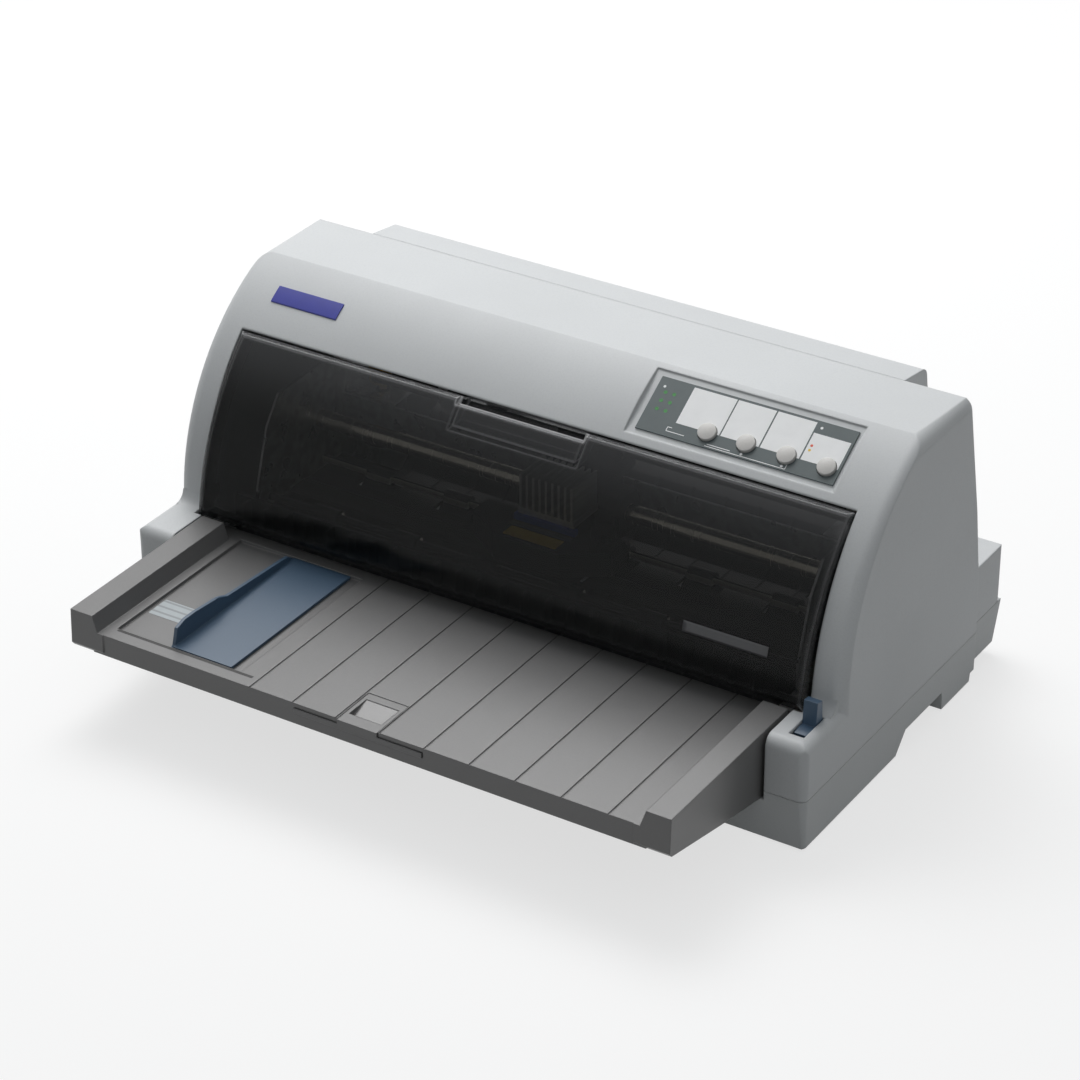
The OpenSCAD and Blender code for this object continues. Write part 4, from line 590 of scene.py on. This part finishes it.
# ---------- Motors ----------
# Two stepping motors in black lacquered cans: the carriage motor hangs under its tab,
# the feed motor is fixed inside the right frame.
can_lacquer = finish("can_lacquer", (0.035, 0.035, 0.037), 0.38, {"Coat Weight": 0.3})
overlay(can_lacquer, noise_mask(can_lacquer, 0.008, 0.4, 0.7), (0.055, 0.055, 0.057), 0.7)
overlay(can_lacquer, edge_mask(can_lacquer, 0.0005, 0.9, 0.999), (0.35, 0.35, 0.35), 0.5)
relief(can_lacquer, noise_mask(can_lacquer, 0.0009, 0.3, 0.7), 0.00002, 0.0004)
dress(can_lacquer, "carriage_motor", "feed_motor")

# ---------- Carriage ----------
# Glass-filled black carriage on the guide shaft, with the needle head in its black can,
# a blue clamp bar in front of it and bare aluminium fins on top.
carriage_black = moulding("carriage_black", (0.026, 0.027, 0.029), 0.45)
dress(carriage_black, "carriage")
head_can = finish("head_can", (0.04, 0.04, 0.042), 0.4)
overlay(head_can, noise_mask(head_can, 0.004, 0.45, 0.7), (0.075, 0.075, 0.078), 0.6)
overlay(head_can, edge_mask(head_can, 0.0005, 0.9, 0.999), (0.22, 0.22, 0.22), 0.6)
relief(head_can, noise_mask(head_can, 0.0007, 0.3, 0.7), 0.00003, 0.0004)
dress(head_can, "print_head")
clamp_blue = moulding("clamp_blue", (0.05, 0.13, 0.55), 0.3, rounding=0.0005)
dress(clamp_blue, "head_clamp")
fin_aluminium = finish("fin_aluminium", (0.72, 0.72, 0.70), 0.42, {"Metallic": 0.85})
brushing = noise_mask(fin_aluminium, 0.003, 0.4, 0.7, stretch=(1, 0.1, 1))
overlay(fin_aluminium, brushing, (0.55, 0.55, 0.54), 0.6)
relief(fin_aluminium, noise_mask(fin_aluminium, 0.0005, 0.3, 0.7, stretch=(1, 0.05, 1)), 0.00001, 0.0003)
dress(fin_aluminium, "head_heatsink")

# ---------- Ribbon cartridge ----------
# Two black shells clipped together round the ribbon, with a bare yellow patch and a grey
# plate on the front of the lid, and a knob that winds the slack in.
cartridge_black = moulding("cartridge_black", (0.036, 0.036, 0.038), 0.38)
dress(cartridge_black, "ribbon_cartridge", "ribbon_knob")


def flat_patch(name, low, high, radius, material, body):
    """A thin plate with round corners, its underside at the first height."""

    def build(bm):
        x0, y0, z0 = low
        x1, y1, z1 = high
        ring = []
        for cx, cy, start in ((x1, y1, 0), (x0, y1, 90), (x0, y0, 180), (x1, y0, 270)):
            mx = cx - radius if start in (0, 270) else cx + radius
            my = cy - radius if start in (0, 90) else cy + radius
            for i in range(7):
                a = math.radians(start + 15 * i)
                ring.append((mx + radius * math.cos(a), my + radius * math.sin(a)))
        under = [bm.verts.new(at(x, y, z0)) for x, y in ring]
        over = [bm.verts.new(at(x, y, z1)) for x, y in ring]
        bm.faces.new(over)
        bm.faces.new(list(reversed(under)))
        for i in range(len(ring)):
            j = (i + 1) % len(ring)
            bm.faces.new((under[i], under[j], over[j], over[i]))

    piece = new_piece(name, build)
    piece.data.materials.append(material)
    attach(piece, body)


label_yellow = finish("label_yellow", (0.90, 0.62, 0.06), 0.45)
overlay(label_yellow, noise_mask(label_yellow, 0.006, 0.4, 0.7), (0.78, 0.52, 0.05), 0.6)
relief(label_yellow, noise_mask(label_yellow, 0.001, 0.3, 0.7), 0.00001)
cartridge_top = 98.2
flat_patch("cartridge_patch", (-15, 77, cartridge_top), (23, 88, cartridge_top + 0.15), 1.0, label_yellow,
           "carriage")
lid_grey = finish("lid_grey", (0.13, 0.13, 0.14), 0.4)
overlay(lid_grey, noise_mask(lid_grey, 0.01, 0.4, 0.7), (0.10, 0.10, 0.105), 0.6)
relief(lid_grey, noise_mask(lid_grey, 0.0006, 0.3, 0.7), 0.00002)
flat_patch("cartridge_lid", (-18, 89.5, cartridge_top), (26, 94, cartridge_top + 0.3), 0.8, lid_grey,
           "carriage")

# ---------- Belt and flat cable ----------
# The belt is black neoprene with moulded teeth on its inner face, spaced by a tree along the
# two straight runs. The head's flat cable is white film over a row of conductors.
belt_rubber = finish("belt_rubber", (0.03, 0.03, 0.031), 0.75)
overlay(belt_rubber, noise_mask(belt_rubber, 0.003, 0.45, 0.7), (0.06, 0.06, 0.06), 0.6)
relief(belt_rubber, noise_mask(belt_rubber, 0.0004, 0.3, 0.7), 0.00002)
dress(belt_rubber, "drive_belt")
tooth_tree, given, output = group("belt_teeth")
size_input(tooth_tree, "Tooth width", 0.0012)
size_input(tooth_tree, "Tooth height", 0.0005)
size_input(tooth_tree, "Belt width", 0.0058)
tooth = tooth_tree.nodes.new("GeometryNodeMeshCube")
girth = tooth_tree.nodes.new("ShaderNodeCombineXYZ")
tooth_tree.links.new(given.outputs["Tooth width"], girth.inputs["X"])
tooth_tree.links.new(given.outputs["Tooth height"], girth.inputs["Y"])
tooth_tree.links.new(given.outputs["Belt width"], girth.inputs["Z"])
tooth_tree.links.new(girth.outputs[0], tooth.inputs["Size"])
spread = tooth_tree.nodes.new("GeometryNodeInstanceOnPoints")
tooth_tree.links.new(given.outputs["Geometry"], spread.inputs["Points"])
tooth_tree.links.new(tooth.outputs["Mesh"], spread.inputs["Instance"])
finish_tree(tooth_tree, spread.outputs[0], output, belt_rubber)
tooth_pitch, belt_height = 2.54, 117
teeth = [at(-160 + tooth_pitch * i, y, belt_height) for i in range(126) for y in (176.8, 189.2)]
grow("belt_teeth", teeth, tooth_tree, {}, "printer_body")

cable_film = finish("cable_film", (0.62, 0.63, 0.64), 0.3)
tree = cable_film.node_tree
place = tree.nodes.new("ShaderNodeTexCoord")
stripes = tree.nodes.new("ShaderNodeTexWave")
stripes.bands_direction = "Z"
stripes.inputs["Scale"].default_value = 314.0
tree.links.new(place.outputs["Object"], stripes.inputs["Vector"])
overlay(cable_film, stripes.outputs["Fac"], (0.42, 0.43, 0.45), 0.7)
relief(cable_film, stripes.outputs["Fac"], 0.00005)
dress(cable_film, "head_cable")

# ---------- Front sheet guide ----------
# A wide tray moulded in dark warm grey, its floor polished a little by the sheets. The support
# for long sheets slides out of its front edge. The edge guide runs in a slot in front of its bay, whose
# dark depth is a thin black strip of painted shadow laid on the floor; the bay has a bare pale sticker on
# its floor.
tray_moulding = moulding("tray_moulding", (0.155, 0.153, 0.153), 0.3, grain=0.0005, depth=0.00003,
                         rounding=0.0009)
dress(tray_moulding, "front_sheet_guide", "sheet_support")
sticker_paper = finish("sticker_paper", (0.40, 0.44, 0.46), 0.5)
overlay(sticker_paper, noise_mask(sticker_paper, 0.004, 0.4, 0.7), (0.35, 0.385, 0.40), 0.6)
tree = sticker_paper.node_tree
place = tree.nodes.new("ShaderNodeTexCoord")
bars = tree.nodes.new("ShaderNodeTexWave")
bars.bands_direction = "Y"
bars.inputs["Scale"].default_value = 52.0
thin = tree.nodes.new("ShaderNodeMapRange")
thin.inputs["From Min"].default_value = 0.72
thin.inputs["From Max"].default_value = 0.86
tree.links.new(place.outputs["Object"], bars.inputs["Vector"])
tree.links.new(bars.outputs["Fac"], thin.inputs["Value"])
overlay(sticker_paper, thin.outputs["Result"], (0.22, 0.235, 0.245), 0.8)
relief(sticker_paper, noise_mask(sticker_paper, 0.0008, 0.3, 0.7), 0.00001)
# Painted shadow: a thin black strip on the tray floor stands in for the shade inside the guide's slot.
slot_shade = finish("slot_shade", (0.006, 0.006, 0.006), 0.6)
overlay(slot_shade, noise_mask(slot_shade, 0.003, 0.4, 0.7), (0.012, 0.012, 0.012), 0.6)
tray_floor, bay_floor = 62.0, 59.9
flat_patch("slot_shadow_strip", (-183.0, -93.6, tray_floor - 0.1), (-82.0, -91.3, tray_floor + 0.05), 0.3,
           slot_shade, "printer_body")
flat_patch("tray_sticker", (-182, -64, bay_floor), (-158, -46, bay_floor + 0.1), 1.0, sticker_paper,
           "printer_body")

# ---------- Edge guide and release lever ----------
# Both are moulded in the same slate blue: the guide that the sheet's left edge runs
# against, and the paper release lever in the right shoulder.
slate_blue = moulding("slate_blue", (0.052, 0.095, 0.152), 0.38)
dress(slate_blue, "edge_guide", "release_lever")

# ---------- Front cover ----------
# A clear smoked acrylic shell, polished in the tool. Its colour is painted paler towards its top as a
# painted reflection of the bright room, and paler along its edges as a painted highlight;
# the bay behind it shows dimly. A bare strip sits low on its right.
shell_alpha, edge_alpha = 0.55, 0.95
reflection_low, reflection_high = 0.138, 0.186
smoked = finish("smoked", (0.006, 0.007, 0.007), 0.12,
                {"Alpha": shell_alpha, "IOR": 1.49, "Specular IOR Level": 0.19})
tree = smoked.node_tree
place = tree.nodes.new("ShaderNodeTexCoord")
height = tree.nodes.new("ShaderNodeSeparateXYZ")
# Painted reflection: the shell's colour turns paler towards its top, standing in for the bright room
# mirrored in its upper curve.
top_reflection = tree.nodes.new("ShaderNodeMapRange")
top_reflection.interpolation_type = "SMOOTHSTEP"
top_reflection.inputs["From Min"].default_value = reflection_low
top_reflection.inputs["From Max"].default_value = reflection_high
tree.links.new(place.outputs["Object"], height.inputs[0])
tree.links.new(height.outputs["Z"], top_reflection.inputs["Value"])
overlay(smoked, top_reflection.outputs["Result"], (0.085, 0.086, 0.090), 0.9)
# Painted highlight: along its edges the shell's colour turns pale and it grows nearly opaque, standing in
# for light caught by the polished edges.
edge_highlight = edge_mask(smoked, 0.0028, 0.90, 0.999)
overlay(smoked, edge_highlight, (0.46, 0.46, 0.47), 0.95)
solid = tree.nodes.new("ShaderNodeMapRange")
solid.inputs["To Min"].default_value = shell_alpha
solid.inputs["To Max"].default_value = edge_alpha
tree.links.new(edge_highlight, solid.inputs["Value"])
tree.links.new(solid.outputs["Result"], tree.nodes["Principled BSDF"].inputs["Alpha"])
vary_roughness(smoked, noise_mask(smoked, 0.02, 0.4, 0.7), 0.10, 0.16)
relief(smoked, noise_mask(smoked, 0.004, 0.3, 0.7), 0.000003, 0.0008)
dress(smoked, "front_cover")


def curved_patch(name, low, high, centre, radius, thick, material, body):
    """A thin plate from (x, z) low to high that follows a curve about X, round (y, z) centre."""
    columns, rows = 12, 6
    rim_area = 1e-6

    def build(bm):
        cy, cz = centre
        faces = []
        for r in (radius, radius + thick):
            grid = []
            for i in range(columns + 1):
                x = low[0] + (high[0] - low[0]) * i / columns
                column = []
                for j in range(rows + 1):
                    z = low[1] + (high[1] - low[1]) * j / rows
                    y = cy - math.sqrt(r * r - (z - cz) ** 2)
                    column.append(bm.verts.new(at(x, y, z)))
                grid.append(column)
            faces.append(grid)
        for grid in faces:
            for i in range(columns):
                for j in range(rows):
                    bm.faces.new((grid[i][j], grid[i + 1][j], grid[i + 1][j + 1], grid[i][j + 1]))
        inner, outer = faces
        rim = [(i, 0) for i in range(columns)] + [(columns, j) for j in range(rows)]
        rim += [(i, rows) for i in range(columns, 0, -1)] + [(0, j) for j in range(rows, 0, -1)]
        for k in range(len(rim)):
            (a, b), (c, d) = rim[k], rim[(k + 1) % len(rim)]
            bm.faces.new((inner[a][b], inner[c][d], outer[c][d], outer[a][b]))

    piece = new_piece(name, build)
    for face in piece.data.polygons:
        face.use_smooth = face.area > rim_area
    piece.data.materials.append(material)
    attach(piece, body)


strip_grey = finish("strip_grey", (0.055, 0.057, 0.062), 0.3)
overlay(strip_grey, noise_mask(strip_grey, 0.02, 0.4, 0.7), (0.075, 0.077, 0.082), 0.6)
relief(strip_grey, noise_mask(strip_grey, 0.0004, 0.3, 0.7), 0.00001)
cover_curve, cover_radius = (205, 50), 173.0
curved_patch("bare_strip", (135, 97), (192, 103.5), cover_curve, cover_radius + 0.02, 0.12, strip_grey,
             "front_cover")

# ---------- Control panel ----------
# A printed film on a recessed plate: slate ground, four white fields without words, two
# columns of green lamps. The warm grey buttons come up through it.
panel_slope = math.radians(32.132)
panel_foot = (96.6, 182.09)


def on_panel(x, up, over):
    """A point on the panel: across, up the slope, and above its chord."""
    c, s = math.cos(panel_slope), math.sin(panel_slope)
    return at(x, panel_foot[0] + up * c - over * s, panel_foot[1] + up * s + over * c)


panel_film = finish("panel_film", (0.072, 0.094, 0.098), 0.42)
overlay(panel_film, noise_mask(panel_film, 0.01, 0.4, 0.7), (0.062, 0.081, 0.085), 0.6)
relief(panel_film, noise_mask(panel_film, 0.0004, 0.3, 0.7), 0.000008, 0.0003)
dress(panel_film, "panel_plate")
ink_white = finish("ink_white", (0.88, 0.885, 0.89), 0.45)
overlay(ink_white, noise_mask(ink_white, 0.008, 0.4, 0.7), (0.84, 0.845, 0.85), 0.6)
relief(ink_white, noise_mask(ink_white, 0.0004, 0.3, 0.7), 0.000006)
ink_green = finish("ink_green", (0.05, 0.30, 0.06), 0.4)
overlay(ink_green, noise_mask(ink_green, 0.001, 0.4, 0.7), (0.04, 0.24, 0.05), 0.6)
ink_red = finish("ink_red", (0.70, 0.10, 0.05), 0.4)
overlay(ink_red, noise_mask(ink_red, 0.001, 0.4, 0.7), (0.60, 0.08, 0.04), 0.6)
ink_amber = finish("ink_amber", (0.80, 0.55, 0.08), 0.4)
overlay(ink_amber, noise_mask(ink_amber, 0.001, 0.4, 0.7), (0.70, 0.46, 0.06), 0.6)
button_xs = (109.9, 136.2, 163.2, 189.8)
button_up, clear_radius = 13.9, 6.15
ink_top, ink_over = 0.27, 0.33


def printed(bm, outline, top=ink_top):
    """A closed film of ink over an outline of (across, up) points."""
    under = [bm.verts.new(on_panel(x, up, top - 0.06)) for x, up in outline]
    over = [bm.verts.new(on_panel(x, up, top)) for x, up in outline]
    bm.faces.new(over)
    bm.faces.new(list(reversed(under)))
    for i in range(len(outline)):
        j = (i + 1) % len(outline)
        bm.faces.new((under[i], under[j], over[j], over[i]))


def field(x0, x1, up0, up1, button_x):
    """A rectangle whose lower edge runs round the button that cuts into it."""
    half = math.sqrt(clear_radius ** 2 - (up0 - button_up) ** 2)
    start, end = math.atan2(up0 - button_up, -half), math.atan2(up0 - button_up, half)
    outline = [(x0, up0), (max(button_x - half, x0), up0)]
    for i in range(13):
        angle = start + (end - start) * i / 12
        x = button_x + clear_radius * math.cos(angle)
        if x0 <= x <= x1:
            outline.append((x, button_up + clear_radius * math.sin(angle)))
    outline += [(min(button_x + half, x1), up0), (x1, up0), (x1, up1), (x0, up1)]
    clean = []
    for point in outline:
        if not clean or (Vector(point) - Vector(clean[-1])).length > 0.02:
            clean.append(point)
    return clean


def disc(cx, cu, r, n=20):
    """The (across, up) points of a circle."""
    turns = [2 * math.pi * i / n for i in range(n)]
    return [(cx + r * math.cos(turn), cu + r * math.sin(turn)) for turn in turns]


def line(x0, up0, x1, up1, w=0.45):
    """A thin bar between two points."""
    d = (Vector((x1, up1)) - Vector((x0, up0))).normalized() * w / 2
    n = Vector((-d.y, d.x))
    return [(x0 - n.x, up0 - n.y), (x1 - n.x, up1 - n.y), (x1 + n.x, up1 + n.y), (x0 + n.x, up0 + n.y)]


mark_radius = 0.9


def white_print(bm):
    """The four fields, the thin lines and the dots."""
    for x0, x1, up1, button_x in ((88.0, 117.4, 40.4, button_xs[0]), (118.3, 144.0, 40.4, button_xs[1]),
                                  (145.0, 171.0, 40.4, button_xs[2]), (172.0, 196.6, 33.4, button_xs[3])):
        printed(bm, field(x0, x1, 14.3, up1, button_x))
    for ends in ((84.5, 7.6, 97.0, 7.6), (84.5, 7.6, 84.5, 10.4), (113.0, 6.6, 128.6, 6.6),
                 (84.5, 10.4, 87.5, 10.4), (112.0, 5.2, 166.0, 5.2), (166.0, 5.2, 166.0, 8.4)):
        printed(bm, line(*ends))
    for x, up in ((69.7, 35.6), (136.2, 6.6), (163.2, 6.6), (175.2, 37.6)):
        printed(bm, disc(x, up, mark_radius))


def green_print(bm):
    """A ring round each lamp."""
    count = 24
    for x in (72.0, 78.0):
        for up in (20.0, 26.0, 32.0):
            ring = disc(x, up, 1.25, count)
            hole = disc(x, up, 0.98, count)
            for i in range(count):
                j = (i + 1) % count
                printed(bm, [ring[i], ring[j], hole[j], hole[i]])


for piece_name, ink, build in (
        ("panel_white", ink_white, white_print),
        ("panel_red", ink_red, lambda bm: printed(bm, disc(174.6, 24.8, mark_radius), ink_over)),
        ("panel_amber", ink_amber, lambda bm: printed(bm, disc(174.6, 21.6, mark_radius), ink_over)),
        ("panel_green", ink_green, green_print)):
    piece = new_piece(piece_name, build)
    piece.data.materials.append(ink)
    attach(piece, "printer_body")
dress(ink_green, "indicator_lamps")

button_cap = moulding("button_cap", (0.60, 0.585, 0.565), 0.4, rounding=0.0007)
dress(button_cap, "button_1", "button_2", "button_3", "button_4")

# ---------- Badge ----------
# A small thin plate, bent to the curve of the upper case and glued to its left side. It is
# painted in semi-gloss blue enamel and left bare.
badge_enamel = finish("badge_enamel", (0.020, 0.028, 0.30), 0.3)
overlay(badge_enamel, noise_mask(badge_enamel, 0.006, 0.4, 0.7), (0.016, 0.023, 0.25), 0.6)
relief(badge_enamel, noise_mask(badge_enamel, 0.002, 0.3, 0.7), 0.000005, 0.0003)
dress(badge_enamel, "badge_plate")

# ---------- Rear tractor ----------
# Black glass-filled plates, a square of two sliding pin units on a bar, and a drive shaft
# with its knob, all above the rear box.
tractor_black = moulding("tractor_black", (0.03, 0.031, 0.033), 0.42)
dress(tractor_black, "tractor_frame", "tractor_left", "tractor_right")
